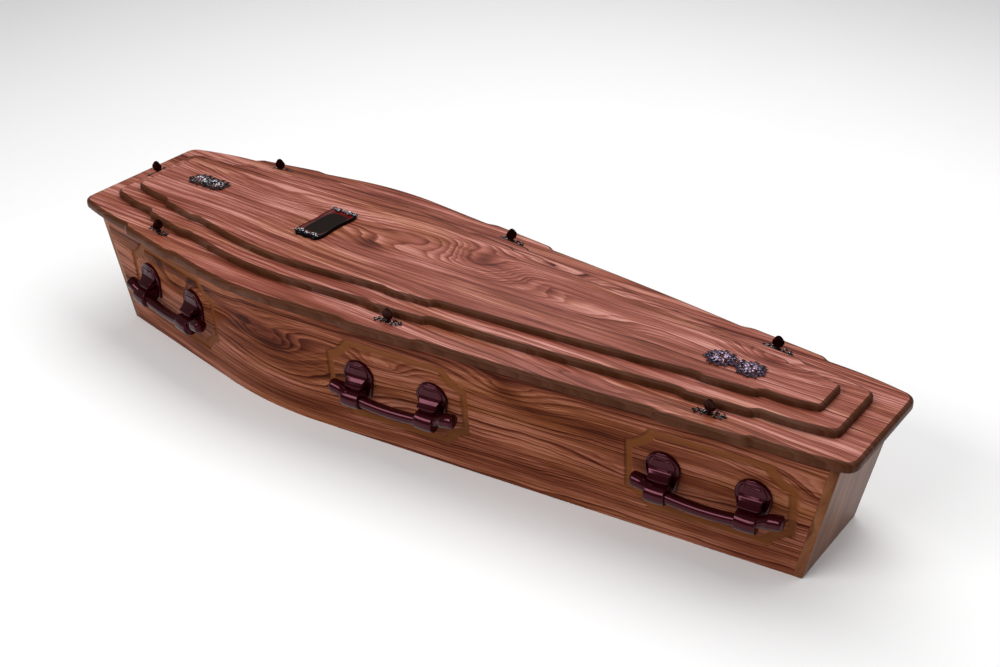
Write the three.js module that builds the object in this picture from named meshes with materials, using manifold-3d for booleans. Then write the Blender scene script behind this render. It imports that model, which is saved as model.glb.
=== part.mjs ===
// A shouldered wooden coffin with a stepped lid, bar handles, lid screws, a nameplate and two cast sprays.
// Millimetres, +Z up. X runs along the coffin with the foot end at +X; the origin is on the floor below the
// middle of the lid's length.

import * as THREE from 'three';
import { mergeVertices } from 'three/addons/utils/BufferGeometryUtils.js';
import Module from 'manifold-3d';

const wasm = await Module();
wasm.setup();

// Driving dimensions: overall length, over the lid
const LID_HALF_LENGTH = 1005;

// Driving dimensions: body, with its plan measured on the floor
const BODY_HEIGHT = 288;
const BOARD = 18;
const JOINT_GAP = 0.3;
const SIDE_FLARE = 16;
const HEAD_FLARE = 69;
const FOOT_FLARE = 55;
const HEAD_HALF_WIDTH = 164;
const SHOULDER_HALF_WIDTH = 267;
const FOOT_HALF_WIDTH = 117.5;
const SHOULDER_FROM_HEAD = 564;
const SHOULDER_BEND_REACH = 145;
const SHOULDER_BEND_STEPS = 8;
const LID_OVERHANG_AT_HEAD = 37;
const LID_OVERHANG_AT_FOOT = 29;

// Driving dimensions: routed panels on the sides
const HEAD_PANEL_FROM_HEAD = 222;
const MIDDLE_PANEL_X = 25;
const FOOT_PANEL_FROM_FOOT = 195;
const PANEL_HEIGHT_ON_SIDE = 151;
const PANEL_LENGTH = 352;
const PANEL_HEIGHT = 198;
const PANEL_NOTCH_LENGTH = 48;
const PANEL_NOTCH_HEIGHT = 40;
const PANEL_NOTCH_LIP = 3;
const PANEL_NOTCH_HOLLOW = 7;
const GROOVE_WIDTH = 18;
const GROOVE_DEPTH = 4;
const NOTCH_STEPS = 3;

// Driving dimensions: lid
const LID_SIDE_OVERHANG_AT_HEAD = 23.4;
const LID_SIDE_OVERHANG_AT_SHOULDER = 27.8;
const LID_SIDE_OVERHANG_AT_FOOT = 16.5;
const LID_SHOULDER_AHEAD_OF_BODY = 61;
const LID_BEND_REACH = 130;
const LID_BOARD_THICKNESS = 21;
const LOWER_TIER_THICKNESS = 18;
const UPPER_TIER_THICKNESS = 16;
const LOWER_TIER_INSET = 65;
const UPPER_TIER_INSET = 108;
const LOWER_TIER_FOOT_INSET = 60;
const UPPER_TIER_FOOT_INSET = 113;
const SCREW_FROM_HEAD_END = 296;
const MIDDLE_SCREW_X = 2;
const SCREW_FROM_FOOT_END = 292;
const PAD_HALF_LENGTH = 75;
const PAD_HALF_LENGTH_PER_INSET = 0.3;
const PAD_PROUD = 8.5;
const PAD_EASE = 34;
const SWELL = 8;
const OUTLINE_CURVE_STEPS = 3;
const LID_EDGE_ROUND = 7;
const TIER_EDGE_ROUND = 6;
const LID_EDGE_STEPS = 2;
const TIER_EDGE_STEPS = 1;
const LID_CORNER = 30;
const LOWER_TIER_CORNER = 20;
const UPPER_TIER_CORNER = 12;

// Driving dimensions: handles
const LUG_SPACING = 184;
const BACK_PLATE_HALF_WIDTH = 37;
const BACK_PLATE_TOP = 54;
const BACK_PLATE_BOTTOM = -30;
const BACK_PLATE_THICKNESS = 8;
const BACK_PLATE_TAPER = 8;
const STRAP_TOP = 47;
const STRAP_TOP_STAND_OFF = 10;
const STRAP_TOP_HALF_WIDTH = 30;
const STRAP_ARCH_HEIGHT = 22;
const STRAP_WAIST_HALF_WIDTH = 22;
const STRAP_WAIST_HEIGHT = 8;
const STRAP_BROW = 25;
const STRAP_BROW_STAND_OFF = 12;
const STRAP_CHEEK = 13;
const STRAP_CHEEK_STAND_OFF = 24;
const STRAP_RIDGE = 6;
const STRAP_RIDGE_STAND_OFF = 33;
const STRAP_RIDGE_DEPTH = 5;
const BAR_STAND_OFF = 32;
const BAR_RADIUS = 12.5;
const BAR_AT_LUG = -24;
const BAR_SAG = 8;
const BAR_TIP_RISE = 20;
const BAR_SLIP_TO_FOOT = 9;
const BAR_TIP_REACH = 150;
const BAR_TIP_RADIUS = 16;
const BAR_TIP_ROUND = 6;
const BAR_FLARE_LENGTH = 20;
const COLLAR_RADIUS = 21;
const BAR_CLEARANCE = 0.4;
const BAR_SIDES = 8;

// Driving dimensions: lid furniture
const SCREW_FROM_EDGE = 44.5;
const SCREW_TURNS = { near: [1.2, 0.3, 0.1], far: [0.5, 0.8, 0.4], headEnd: 0.5 };
const HEAD_END_SCREW_Y = 20;
const SCREW_HEAD_HALF_WIDTH = 12;
const SCREW_HEAD_HEIGHT = 32;
const SCREW_HEAD_THICKNESS = 5;
const SCREW_HEAD_OVERLAP = 3;
const SCREW_STEM_RADIUS = 4;
const SCREW_STEM_LENGTH = 8;
const ESCUTCHEON_HALF_LENGTH = 36;
const ESCUTCHEON_HALF_WIDTH = 10;
const ESCUTCHEON_THICKNESS = 3;
const ESCUTCHEON_LOBES = 3;
const NAMEPLATE_FROM_HEAD_END = 648;
const NAMEPLATE_Y = -8;
const NAMEPLATE_LENGTH = 150;
const NAMEPLATE_WIDTH = 84;
const NAMEPLATE_THICKNESS = 9;
const NAMEPLATE_RIM = 9;
const NAMEPLATE_END_BAND = 22;
const NAMEPLATE_FIELD_DEPTH = 4;
const NAMEPLATE_WAIST = 6;
const NAMEPLATE_SCROLL = 4;
const HEAD_SPRAY_FROM_HEAD_END = 256;
const FOOT_SPRAY_FROM_FOOT_END = 310;
const FOOT_SPRAY_Y = -8;
const SPRAY_LEAVES = 8;
const SPRAY_BACKING = 3;
const SPRAY_HALF_LENGTH = 62;
const SPRAY_HALF_WIDTH = 38;
const SPRAY_HEIGHT = 14;
const SPRAY_LEAF_WIDTH = 24;
const SPRAY_LEAF_SHARE = 0.6;
const HEAD_BLOSSOMS = [[-24, 4, 20], [8, -4, 22], [34, 6, 16]];
const FOOT_BLOSSOMS = [[-34, 0, 22], [4, 10, 15], [36, -4, 22]];

// Places along the coffin and heights of the stacked boards, worked out from the sizes above
const HEAD_X = -LID_HALF_LENGTH + LID_OVERHANG_AT_HEAD + HEAD_FLARE;
const FOOT_X = LID_HALF_LENGTH - LID_OVERHANG_AT_FOOT - FOOT_FLARE;
const SHOULDER_X = HEAD_X + SHOULDER_FROM_HEAD;
const LID_SHOULDER_X = SHOULDER_X - LID_SHOULDER_AHEAD_OF_BODY;
const PANEL_CENTRES_X = [HEAD_X + HEAD_PANEL_FROM_HEAD, MIDDLE_PANEL_X, FOOT_X - FOOT_PANEL_FROM_FOOT];
const HEAD_SCREW_X = -LID_HALF_LENGTH + SCREW_FROM_HEAD_END;
const FOOT_SCREW_X = LID_HALF_LENGTH - SCREW_FROM_FOOT_END;
const SCREW_X = [HEAD_SCREW_X, MIDDLE_SCREW_X, FOOT_SCREW_X];
const LID_TOP_Z = BODY_HEIGHT + LID_BOARD_THICKNESS;
const LOWER_TIER_TOP_Z = LID_TOP_Z + LOWER_TIER_THICKNESS;
const UPPER_TIER_TOP_Z = LOWER_TIER_TOP_Z + UPPER_TIER_THICKNESS;

// Materials
const sideWood = new THREE.MeshStandardMaterial({ color: 0x6e4630, roughness: 0.45, metalness: 0 });
const endWood = new THREE.MeshStandardMaterial({ color: 0x9a7360, roughness: 0.55, metalness: 0 });
const lidWood = new THREE.MeshStandardMaterial({ color: 0x96605a, roughness: 0.4, metalness: 0 });
const plainWood = new THREE.MeshStandardMaterial({ color: 0x8c6a4c, roughness: 0.7, metalness: 0 });
const maroonPlastic = new THREE.MeshStandardMaterial({ color: 0x3a1216, roughness: 0.15, metalness: 0 });
const antiqueMetal = new THREE.MeshStandardMaterial({ color: 0x5c5566, roughness: 0.3, metalness: 0.8 });

// Solids and boolean helpers

function toSolid(geometry) {
  const bare = geometry.index ? geometry.toNonIndexed() : geometry.clone();
  bare.deleteAttribute('normal');
  bare.deleteAttribute('uv');
  const merged = mergeVertices(bare, 1e-4);
  return new wasm.Manifold(new wasm.Mesh({
    numProp: 3,
    vertProperties: new Float32Array(merged.attributes.position.array),
    triVerts: new Uint32Array(merged.index.array),
  }));
}

function toGeometry(solid) {
  const mesh = solid.getMesh();
  const geometry = new THREE.BufferGeometry();
  geometry.setAttribute('position', new THREE.BufferAttribute(new Float32Array(mesh.vertProperties), 3));
  geometry.setIndex(new THREE.BufferAttribute(new Uint32Array(mesh.triVerts), 1));
  return geometry;
}

function joined(geometries) {
  return toGeometry(geometries.map(toSolid).reduce((sum, solid) => sum.add(solid)));
}

function cut(geometry, ...tools) {
  return toGeometry(tools.map(toSolid).reduce((rest, tool) => rest.subtract(tool), toSolid(geometry)));
}

function common(first, second) {
  return toGeometry(toSolid(first).intersect(toSolid(second)));
}

function extruded(shape, depth, curveSegments = NOTCH_STEPS) {
  return new THREE.ExtrudeGeometry(shape, { depth, bevelEnabled: false, curveSegments });
}

function moved(geometry, x, y, z) {
  return geometry.translate(x, y, z);
}

// Each point of a geometry is passed through a rule that moves it
function reshaped(geometry, rule) {
  const position = geometry.attributes.position;
  const point = new THREE.Vector3();
  for (let i = 0; i < position.count; i += 1) {
    point.fromBufferAttribute(position, i);
    rule(point);
    position.setXYZ(i, point.x, point.y, point.z);
  }
  return geometry;
}

const coffin = new THREE.Group();

function addPiece(name, geometry, material) {
  const mesh = new THREE.Mesh(geometry, material);
  mesh.name = name;
  coffin.add(mesh);
  return mesh;
}

// Body: plan lines of the sides

const headSlope = (SHOULDER_HALF_WIDTH - HEAD_HALF_WIDTH) / (SHOULDER_X - HEAD_X);
const footSlope = (SHOULDER_HALF_WIDTH - FOOT_HALF_WIDTH) / (FOOT_X - SHOULDER_X);
const bodyReach = LID_HALF_LENGTH + HEAD_FLARE;

function sideHalfWidth(x) {
  const slope = x < SHOULDER_X ? headSlope : -footSlope;
  return SHOULDER_HALF_WIDTH + slope * (x - SHOULDER_X);
}

// The line of one side in plan, drawn inward of the outer face, from head to foot or back
function drawSide(shape, side, inward, fromHead) {
  const bendStart = fromHead ? SHOULDER_X - SHOULDER_BEND_REACH : SHOULDER_X + SHOULDER_BEND_REACH;
  const bendEnd = fromHead ? SHOULDER_X + SHOULDER_BEND_REACH : SHOULDER_X - SHOULDER_BEND_REACH;
  const end = fromHead ? bodyReach : -bodyReach;
  const y = (x) => side * (sideHalfWidth(x) - inward);
  shape.lineTo(-end, y(-end));
  shape.lineTo(bendStart, y(bendStart));
  shape.quadraticCurveTo(SHOULDER_X, y(SHOULDER_X), bendEnd, y(bendEnd));
  shape.lineTo(end, y(end));
}

function startOfSide(shape, side, inward) {
  shape.moveTo(-bodyReach, side * (sideHalfWidth(-bodyReach) - inward));
}

// The sides lean outward as they rise
function flareSides(geometry) {
  return reshaped(geometry, (point) => {
    point.y += Math.sign(point.y) * SIDE_FLARE * point.z / BODY_HEIGHT;
  });
}

function bodyBlock(inward, height) {
  const plan = new THREE.Shape();
  startOfSide(plan, -1, inward);
  drawSide(plan, -1, inward, true);
  drawSide(plan, 1, inward, false);
  return flareSides(extruded(plan, height, SHOULDER_BEND_STEPS));
}

// A wedge that fills everything beyond a leaning end face, which meets the floor at floorX
function beyondEnd(end, floorX, flare) {
  const far = end * (bodyReach + SHOULDER_BEND_REACH);
  const profile = new THREE.Shape();
  const below = -BOARD;
  const above = BODY_HEIGHT + BOARD;
  const xAt = (z) => floorX + end * flare * z / BODY_HEIGHT;
  profile.moveTo(xAt(below), below);
  profile.lineTo(far, below);
  profile.lineTo(far, above);
  profile.lineTo(xAt(above), above);
  const halfWidth = 2 * SHOULDER_HALF_WIDTH;
  const wedge = extruded(profile, 2 * halfWidth);
  return moved(wedge.rotateX(Math.PI / 2), 0, halfWidth, 0);
}

const headBeyond = (inward) => beyondEnd(-1, HEAD_X + inward, HEAD_FLARE);
const footBeyond = (inward) => beyondEnd(1, FOOT_X - inward, FOOT_FLARE);

// Routed panels

function notchedOutline(margin) {
  const halfLength = PANEL_LENGTH / 2 - margin;
  const halfHeight = PANEL_HEIGHT / 2 - margin;
  const notchX = halfLength - PANEL_NOTCH_LENGTH;
  const notchY = halfHeight - PANEL_NOTCH_HEIGHT;
  const lipX = halfLength - PANEL_NOTCH_LIP;
  const lipY = halfHeight - PANEL_NOTCH_LIP;
  const hollowX = (notchX + lipX) / 2 - PANEL_NOTCH_HOLLOW;
  const hollowY = (notchY + lipY) / 2 - PANEL_NOTCH_HOLLOW;
  const shape = new THREE.Shape();
  const corners = [[1, -1], [1, 1], [-1, 1], [-1, -1]];
  corners.forEach(([right, up], index) => {
    const alongFirst = index % 2 === 0;
    const a = [right * notchX, up * halfHeight];
    const b = [right * halfLength, up * notchY];
    const insideA = [right * notchX, up * lipY];
    const insideB = [right * lipX, up * notchY];
    const hollow = [right * hollowX, up * hollowY];
    const route = alongFirst ? [a, insideA, insideB, b] : [b, insideB, insideA, a];
    if (index === 0) shape.moveTo(...route[0]);
    else shape.lineTo(...route[0]);
    shape.lineTo(...route[1]);
    shape.quadraticCurveTo(...hollow, ...route[2]);
    shape.lineTo(...route[3]);
  });
  shape.closePath();
  return shape;
}

// Frame that lies on a side's outer face: U along the face, V up it, W out of it
function sidePlacement(side, x, z) {
  const slope = x < SHOULDER_X ? headSlope : -footSlope;
  const lean = SIDE_FLARE / BODY_HEIGHT;
  const out = new THREE.Vector3(-slope, side, -lean).normalize();
  const along = new THREE.Vector3(-side, -slope, 0).normalize();
  const up = new THREE.Vector3().crossVectors(out, along);
  const y = side * (sideHalfWidth(x) + lean * z);
  return new THREE.Matrix4().makeBasis(along, up, out).setPosition(x, y, z);
}

function grooveCutter(side, x) {
  const band = notchedOutline(0);
  band.holes.push(notchedOutline(GROOVE_WIDTH));
  const cutter = moved(extruded(band, 2 * GROOVE_DEPTH), 0, 0, -GROOVE_DEPTH);
  return cutter.applyMatrix4(sidePlacement(side, x, PANEL_HEIGHT_ON_SIDE));
}

// Side boards

function sideBoard(side) {
  const plan = new THREE.Shape();
  startOfSide(plan, side, 0);
  drawSide(plan, side, 0, true);
  drawSide(plan, side, BOARD, false);
  const board = flareSides(extruded(plan, BODY_HEIGHT, SHOULDER_BEND_STEPS));
  const grooves = PANEL_CENTRES_X.map((x) => grooveCutter(side, x));
  return cut(board, headBeyond(BOARD + JOINT_GAP), footBeyond(BOARD + JOINT_GAP), ...grooves);
}

addPiece('side_board_near', sideBoard(-1), sideWood);
addPiece('side_board_far', sideBoard(1), sideWood);

// End boards, lapped over the ends of the sides

function endBoard(outerFace, innerFace) {
  return cut(common(bodyBlock(0, BODY_HEIGHT), innerFace), outerFace);
}

addPiece('head_board', endBoard(headBeyond(0), headBeyond(BOARD)), endWood);
addPiece('foot_board', endBoard(footBeyond(0), footBeyond(BOARD)), endWood);

// Base board, held between the four walls

addPiece('base_board', cut(
  bodyBlock(BOARD + JOINT_GAP, BOARD),
  headBeyond(BOARD + JOINT_GAP),
  footBeyond(BOARD + JOINT_GAP),
), plainWood);

// Lid: one outline, drawn for each board at its own inset

const bodyTopHalfWidth = (x) => sideHalfWidth(x) + SIDE_FLARE;
const lidHeadHalfWidth = bodyTopHalfWidth(-LID_HALF_LENGTH) + LID_SIDE_OVERHANG_AT_HEAD;
const lidShoulderHalfWidth = bodyTopHalfWidth(LID_SHOULDER_X) + LID_SIDE_OVERHANG_AT_SHOULDER;
const lidFootHalfWidth = bodyTopHalfWidth(LID_HALF_LENGTH) + LID_SIDE_OVERHANG_AT_FOOT;
const lidHeadSlope = (lidShoulderHalfWidth - lidHeadHalfWidth) / (LID_SHOULDER_X + LID_HALF_LENGTH);
const lidFootSlope = (lidShoulderHalfWidth - lidFootHalfWidth) / (LID_HALF_LENGTH - LID_SHOULDER_X);

function lidEdgeLines(inset) {
  const headInset = inset * Math.hypot(1, lidHeadSlope);
  const footInset = inset * Math.hypot(1, lidFootSlope);
  const headLine = (x) => lidHeadHalfWidth - headInset + lidHeadSlope * (x + LID_HALF_LENGTH);
  const footLine = (x) => lidFootHalfWidth - footInset + lidFootSlope * (LID_HALF_LENGTH - x);
  const shoulderX = (footLine(0) - headLine(0)) / (lidHeadSlope + lidFootSlope);
  return { headLine, footLine, shoulderX };
}

function lidHalfWidth(x, inset = 0) {
  const { headLine, footLine } = lidEdgeLines(inset);
  return Math.min(headLine(x), footLine(x));
}

// One long edge of a lid board, as a list of strokes from head to foot: at each lid screw the edge steps out
// through a small ogee to a pad, and between the pads it swells gently
function longEdgeStrokes(inset, footInset, corner) {
  const { headLine, footLine, shoulderX } = lidEdgeLines(inset);
  const half = (x) => Math.min(headLine(x), footLine(x));
  const padHalf = PAD_HALF_LENGTH - PAD_HALF_LENGTH_PER_INSET * inset;
  const strokes = [];
  let x = -LID_HALF_LENGTH + inset + corner;
  const swellTo = (end) => {
    const middle = (x + end) / 2;
    strokes.push({ control: [middle, half(middle) + SWELL], to: [end, half(end)] });
    x = end;
  };
  const ease = (end, startProud, endProud) => {
    const middle = (x + end) / 2;
    strokes.push({
      control: [middle, half(x) + startProud],
      secondControl: [middle, half(end) + endProud],
      to: [end, half(end) + endProud],
    });
    x = end;
  };
  SCREW_X.forEach((screwX, index) => {
    const start = screwX - padHalf;
    if (index === 1) {
      strokes.push({ to: [shoulderX - LID_BEND_REACH, half(shoulderX - LID_BEND_REACH)] });
      strokes.push({
        control: [shoulderX, headLine(shoulderX)],
        to: [shoulderX + LID_BEND_REACH, half(shoulderX + LID_BEND_REACH)],
      });
      strokes.push({ to: [start - PAD_EASE, half(start - PAD_EASE)] });
      x = start - PAD_EASE;
    } else {
      swellTo(start - PAD_EASE);
    }
    ease(start, 0, PAD_PROUD);
    x = screwX + padHalf;
    strokes.push({ to: [x, half(x) + PAD_PROUD] });
    ease(x + PAD_EASE, PAD_PROUD, 0);
  });
  swellTo(LID_HALF_LENGTH - footInset - corner);
  const first = -LID_HALF_LENGTH + inset + corner;
  return { first: [first, half(first)], strokes };
}

function drawStroke(shape, side, stroke) {
  const at = ([x, y]) => [x, side * y];
  if (stroke.secondControl) {
    shape.bezierCurveTo(...at(stroke.control), ...at(stroke.secondControl), ...at(stroke.to));
  } else if (stroke.control) {
    shape.quadraticCurveTo(...at(stroke.control), ...at(stroke.to));
  } else {
    shape.lineTo(...at(stroke.to));
  }
}

// The same strokes run the other way, from foot to head
function reversed({ first, strokes }) {
  const starts = [first, ...strokes.map((stroke) => stroke.to)];
  const back = strokes.map((stroke, index) => ({
    control: stroke.secondControl ?? stroke.control,
    secondControl: stroke.secondControl ? stroke.control : undefined,
    to: starts[index],
  })).reverse();
  return { first: starts[starts.length - 1], strokes: back };
}

function lidOutline(inset, footInset, corner) {
  const edge = longEdgeStrokes(inset, footInset, corner);
  const back = reversed(edge);
  const headX = -LID_HALF_LENGTH + inset;
  const footX = LID_HALF_LENGTH - footInset;
  const headHalf = lidHalfWidth(headX, inset);
  const footHalf = lidHalfWidth(footX, inset);
  const shape = new THREE.Shape();
  shape.moveTo(edge.first[0], -edge.first[1]);
  edge.strokes.forEach((stroke) => drawStroke(shape, -1, stroke));
  shape.quadraticCurveTo(footX, -footHalf, footX, -footHalf + corner);
  shape.lineTo(footX, footHalf - corner);
  shape.quadraticCurveTo(footX, footHalf, back.first[0], back.first[1]);
  back.strokes.forEach((stroke) => drawStroke(shape, 1, stroke));
  shape.quadraticCurveTo(headX, headHalf, headX, headHalf - corner);
  shape.lineTo(headX, -headHalf + corner);
  shape.quadraticCurveTo(headX, -headHalf, edge.first[0], -edge.first[1]);
  return shape;
}

function lidBoard(outline, thickness, edgeRound, edgeSteps, bottomZ) {
  const board = new THREE.ExtrudeGeometry(outline, {
    depth: thickness - 2 * edgeRound,
    curveSegments: OUTLINE_CURVE_STEPS,
    bevelEnabled: true,
    bevelThickness: edgeRound,
    bevelSize: edgeRound,
    bevelOffset: -edgeRound,
    bevelSegments: edgeSteps,
  });
  return moved(board, 0, 0, bottomZ + edgeRound);
}

const lidEdge = lidOutline(0, 0, LID_CORNER);
const lowerTierEdge = lidOutline(LOWER_TIER_INSET, LOWER_TIER_FOOT_INSET, LOWER_TIER_CORNER);
const upperTierEdge = lidOutline(UPPER_TIER_INSET, UPPER_TIER_FOOT_INSET, UPPER_TIER_CORNER);

addPiece(
  'lid_board',
  lidBoard(lidEdge, LID_BOARD_THICKNESS, LID_EDGE_ROUND, LID_EDGE_STEPS, BODY_HEIGHT),
  lidWood,
);
addPiece(
  'lid_lower_tier',
  lidBoard(lowerTierEdge, LOWER_TIER_THICKNESS, TIER_EDGE_ROUND, TIER_EDGE_STEPS, LID_TOP_Z),
  lidWood,
);
addPiece(
  'lid_upper_tier',
  lidBoard(upperTierEdge, UPPER_TIER_THICKNESS, TIER_EDGE_ROUND, TIER_EDGE_STEPS, LOWER_TIER_TOP_Z),
  lidWood,
);

// Handle bars: a round bar that sags a little between its lugs, with flared tips that rise

const lugHalfSpacing = LUG_SPACING / 2;

function barHeight(u) {
  const tipLength = BAR_TIP_REACH + BAR_TIP_ROUND - lugHalfSpacing;
  const beyond = Math.max(0, Math.abs(u) - lugHalfSpacing) / tipLength;
  const within = Math.min(1, Math.abs(u) / lugHalfSpacing);
  return BAR_AT_LUG - BAR_SAG * (1 - within ** 2) + BAR_TIP_RISE * (1 - (1 - beyond) ** 2);
}

// A turned profile along the bar, laid on the bar's sagging line, with or without the flared tips.
// The bar sits a little toward the foot in its collars
const lugReach = lugHalfSpacing + STRAP_TOP_HALF_WIDTH + BAR_SLIP_TO_FOOT;
const flareStart = lugHalfSpacing + STRAP_WAIST_HALF_WIDTH;
const tipStart = BAR_TIP_REACH - BAR_TIP_ROUND;

function barSolid(extraRadius, withTips, slip) {
  const radiusAt = (u) => {
    const flare = THREE.MathUtils.smoothstep(u, flareStart, flareStart + BAR_FLARE_LENGTH);
    return BAR_RADIUS + extraRadius + flare * (BAR_TIP_RADIUS - BAR_RADIUS);
  };
  const stations = [0, lugHalfSpacing / 2, lugHalfSpacing, lugReach];
  if (withTips) stations.push(tipStart);
  const half = stations.map((u) => new THREE.Vector2(radiusAt(u), u));
  if (withTips) half.push(new THREE.Vector2(BAR_TIP_RADIUS * 0.6, BAR_TIP_REACH + BAR_TIP_ROUND * 0.75));
  half.push(new THREE.Vector2(0, withTips ? BAR_TIP_REACH + BAR_TIP_ROUND : lugReach));
  const otherHalf = half.slice(1).reverse().map((point) => new THREE.Vector2(point.x, -point.y));
  const turned = new THREE.LatheGeometry([...otherHalf, ...half], BAR_SIDES);
  turned.rotateZ(-Math.PI / 2);
  return reshaped(turned, (point) => {
    point.y += barHeight(point.x);
    point.z += BAR_STAND_OFF;
    point.x += slip;
  });
}

// Handle lugs: a tombstone back plate, a strap that swells to a ridge, and a collar round the bar

function backPlate() {
  const outline = new THREE.Shape();
  const arch = BACK_PLATE_TOP - BACK_PLATE_HALF_WIDTH;
  const footHalfWidth = BACK_PLATE_HALF_WIDTH - BACK_PLATE_TAPER;
  outline.moveTo(-footHalfWidth, BACK_PLATE_BOTTOM);
  outline.lineTo(footHalfWidth, BACK_PLATE_BOTTOM);
  outline.lineTo(BACK_PLATE_HALF_WIDTH, arch);
  outline.absarc(0, arch, BACK_PLATE_HALF_WIDTH, 0, Math.PI, false);
  return moved(extruded(outline, BACK_PLATE_THICKNESS, 5), 0, 0, JOINT_GAP);
}

// The strap seen from its side: stand-off from the board first, height up the board second
function strapSide() {
  const start = 2 * JOINT_GAP;
  const side = new THREE.Shape();
  side.moveTo(start, STRAP_TOP - BACK_PLATE_THICKNESS / 4);
  side.lineTo(STRAP_TOP_STAND_OFF, STRAP_TOP);
  side.lineTo(STRAP_BROW_STAND_OFF, STRAP_BROW);
  side.lineTo(STRAP_CHEEK_STAND_OFF, STRAP_CHEEK);
  side.lineTo(STRAP_RIDGE_STAND_OFF, STRAP_RIDGE);
  side.lineTo(STRAP_RIDGE_STAND_OFF, STRAP_RIDGE - STRAP_RIDGE_DEPTH);
  side.absarc(BAR_STAND_OFF, BAR_AT_LUG, COLLAR_RADIUS, Math.PI / 2, -Math.PI * 0.75, true);
  side.lineTo(start, BAR_AT_LUG);
  return side;
}

// The strap seen from the front: an arched top that narrows to the waist and runs down past the collar
function strapFront() {
  const shoulder = STRAP_TOP - STRAP_ARCH_HEIGHT;
  const bottom = BAR_AT_LUG - 2 * COLLAR_RADIUS;
  const archControl = STRAP_TOP_HALF_WIDTH * 0.93;
  const crown = STRAP_TOP + STRAP_ARCH_HEIGHT / 10;
  const face = new THREE.Shape();
  face.moveTo(-STRAP_WAIST_HALF_WIDTH, bottom);
  face.lineTo(STRAP_WAIST_HALF_WIDTH, bottom);
  face.lineTo(STRAP_WAIST_HALF_WIDTH, STRAP_WAIST_HEIGHT);
  face.lineTo(STRAP_TOP_HALF_WIDTH, shoulder);
  face.quadraticCurveTo(archControl, STRAP_TOP, 0, crown);
  face.quadraticCurveTo(-archControl, STRAP_TOP, -STRAP_TOP_HALF_WIDTH, shoulder);
  face.lineTo(-STRAP_WAIST_HALF_WIDTH, STRAP_WAIST_HEIGHT);
  return face;
}

function strap() {
  const profile = extruded(strapSide(), 2 * STRAP_TOP_HALF_WIDTH, 4);
  profile.rotateY(-Math.PI / 2);
  profile.translate(STRAP_TOP_HALF_WIDTH, 0, 0);
  const throughAll = BAR_STAND_OFF + 2 * COLLAR_RADIUS;
  return common(profile, moved(extruded(strapFront(), 2 * throughAll, 2), 0, 0, -throughAll));
}

function lug(end, slip) {
  const solid = joined([backPlate(), strap()]);
  solid.translate(end * lugHalfSpacing, 0, 0);
  return cut(solid, barSolid(BAR_CLEARANCE, false, slip));
}

const handleNames = ['head', 'middle', 'foot'];
const sideNames = [['near', -1], ['far', 1]];

sideNames.forEach(([sideName, side]) => {
  handleNames.forEach((place, index) => {
    const placement = sidePlacement(side, PANEL_CENTRES_X[index], PANEL_HEIGHT_ON_SIDE);
    const towardFoot = -side;
    const slip = towardFoot * BAR_SLIP_TO_FOOT;
    const bar = addPiece(`handle_bar_${sideName}_${place}`, barSolid(0, true, slip), maroonPlastic);
    const headLug = addPiece(`lug_${sideName}_${place}_1`, lug(-towardFoot, slip), maroonPlastic);
    const footLug = addPiece(`lug_${sideName}_${place}_2`, lug(towardFoot, slip), maroonPlastic);
    [bar, headLug, footLug].forEach((mesh) => mesh.applyMatrix4(placement));
  });
});

// Lid screws: a flat palmette thumb-piece on a stem, over a lobed escutcheon

function thumbPiece() {
  const leaf = new THREE.Shape();
  const w = SCREW_HEAD_HALF_WIDTH;
  const base = SCREW_STEM_LENGTH - SCREW_HEAD_OVERLAP;
  const top = SCREW_HEAD_HEIGHT;
  const at = (share) => base + share * (top - base);
  leaf.moveTo(-w * 0.45, base);
  leaf.lineTo(w * 0.45, base);
  leaf.quadraticCurveTo(w * 1.25, at(0.11), w, at(0.37));
  leaf.quadraticCurveTo(w * 1.05, at(0.56), w * 0.6, at(0.63));
  leaf.quadraticCurveTo(w * 0.55, at(0.89), 0, top);
  leaf.quadraticCurveTo(-w * 0.55, at(0.89), -w * 0.6, at(0.63));
  leaf.quadraticCurveTo(-w * 1.05, at(0.56), -w, at(0.37));
  leaf.quadraticCurveTo(-w * 1.25, at(0.11), -w * 0.45, base);
  const plate = moved(extruded(leaf, SCREW_HEAD_THICKNESS, 2), 0, 0, -SCREW_HEAD_THICKNESS / 2);
  plate.rotateX(Math.PI / 2);
  const stem = new THREE.CylinderGeometry(SCREW_STEM_RADIUS * 0.8, SCREW_STEM_RADIUS, SCREW_STEM_LENGTH, 6);
  stem.rotateX(Math.PI / 2);
  stem.translate(0, 0, SCREW_STEM_LENGTH / 2);
  return joined([plate, stem]);
}

// Scalloped strip with a round hole for the stem
function escutcheon() {
  const outline = new THREE.Shape();
  const lobe = ESCUTCHEON_HALF_LENGTH / ESCUTCHEON_LOBES;
  const valley = ESCUTCHEON_HALF_WIDTH * 0.55;
  outline.moveTo(-ESCUTCHEON_HALF_LENGTH, 0);
  [1, -1].forEach((side) => {
    for (let i = 0; i < ESCUTCHEON_LOBES; i += 1) {
      const peak = -ESCUTCHEON_HALF_LENGTH + (2 * i + 1) * lobe;
      const atEnd = i === ESCUTCHEON_LOBES - 1;
      const end = [side * (peak + lobe), atEnd ? 0 : -side * valley];
      outline.quadraticCurveTo(side * peak, -side * ESCUTCHEON_HALF_WIDTH * 1.5, ...end);
    }
  });
  const hole = new THREE.Path();
  hole.absarc(0, 0, SCREW_STEM_RADIUS + 2 * JOINT_GAP, 0, 2 * Math.PI, true);
  outline.holes.push(hole);
  return extruded(outline, ESCUTCHEON_THICKNESS, 3);
}

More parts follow.
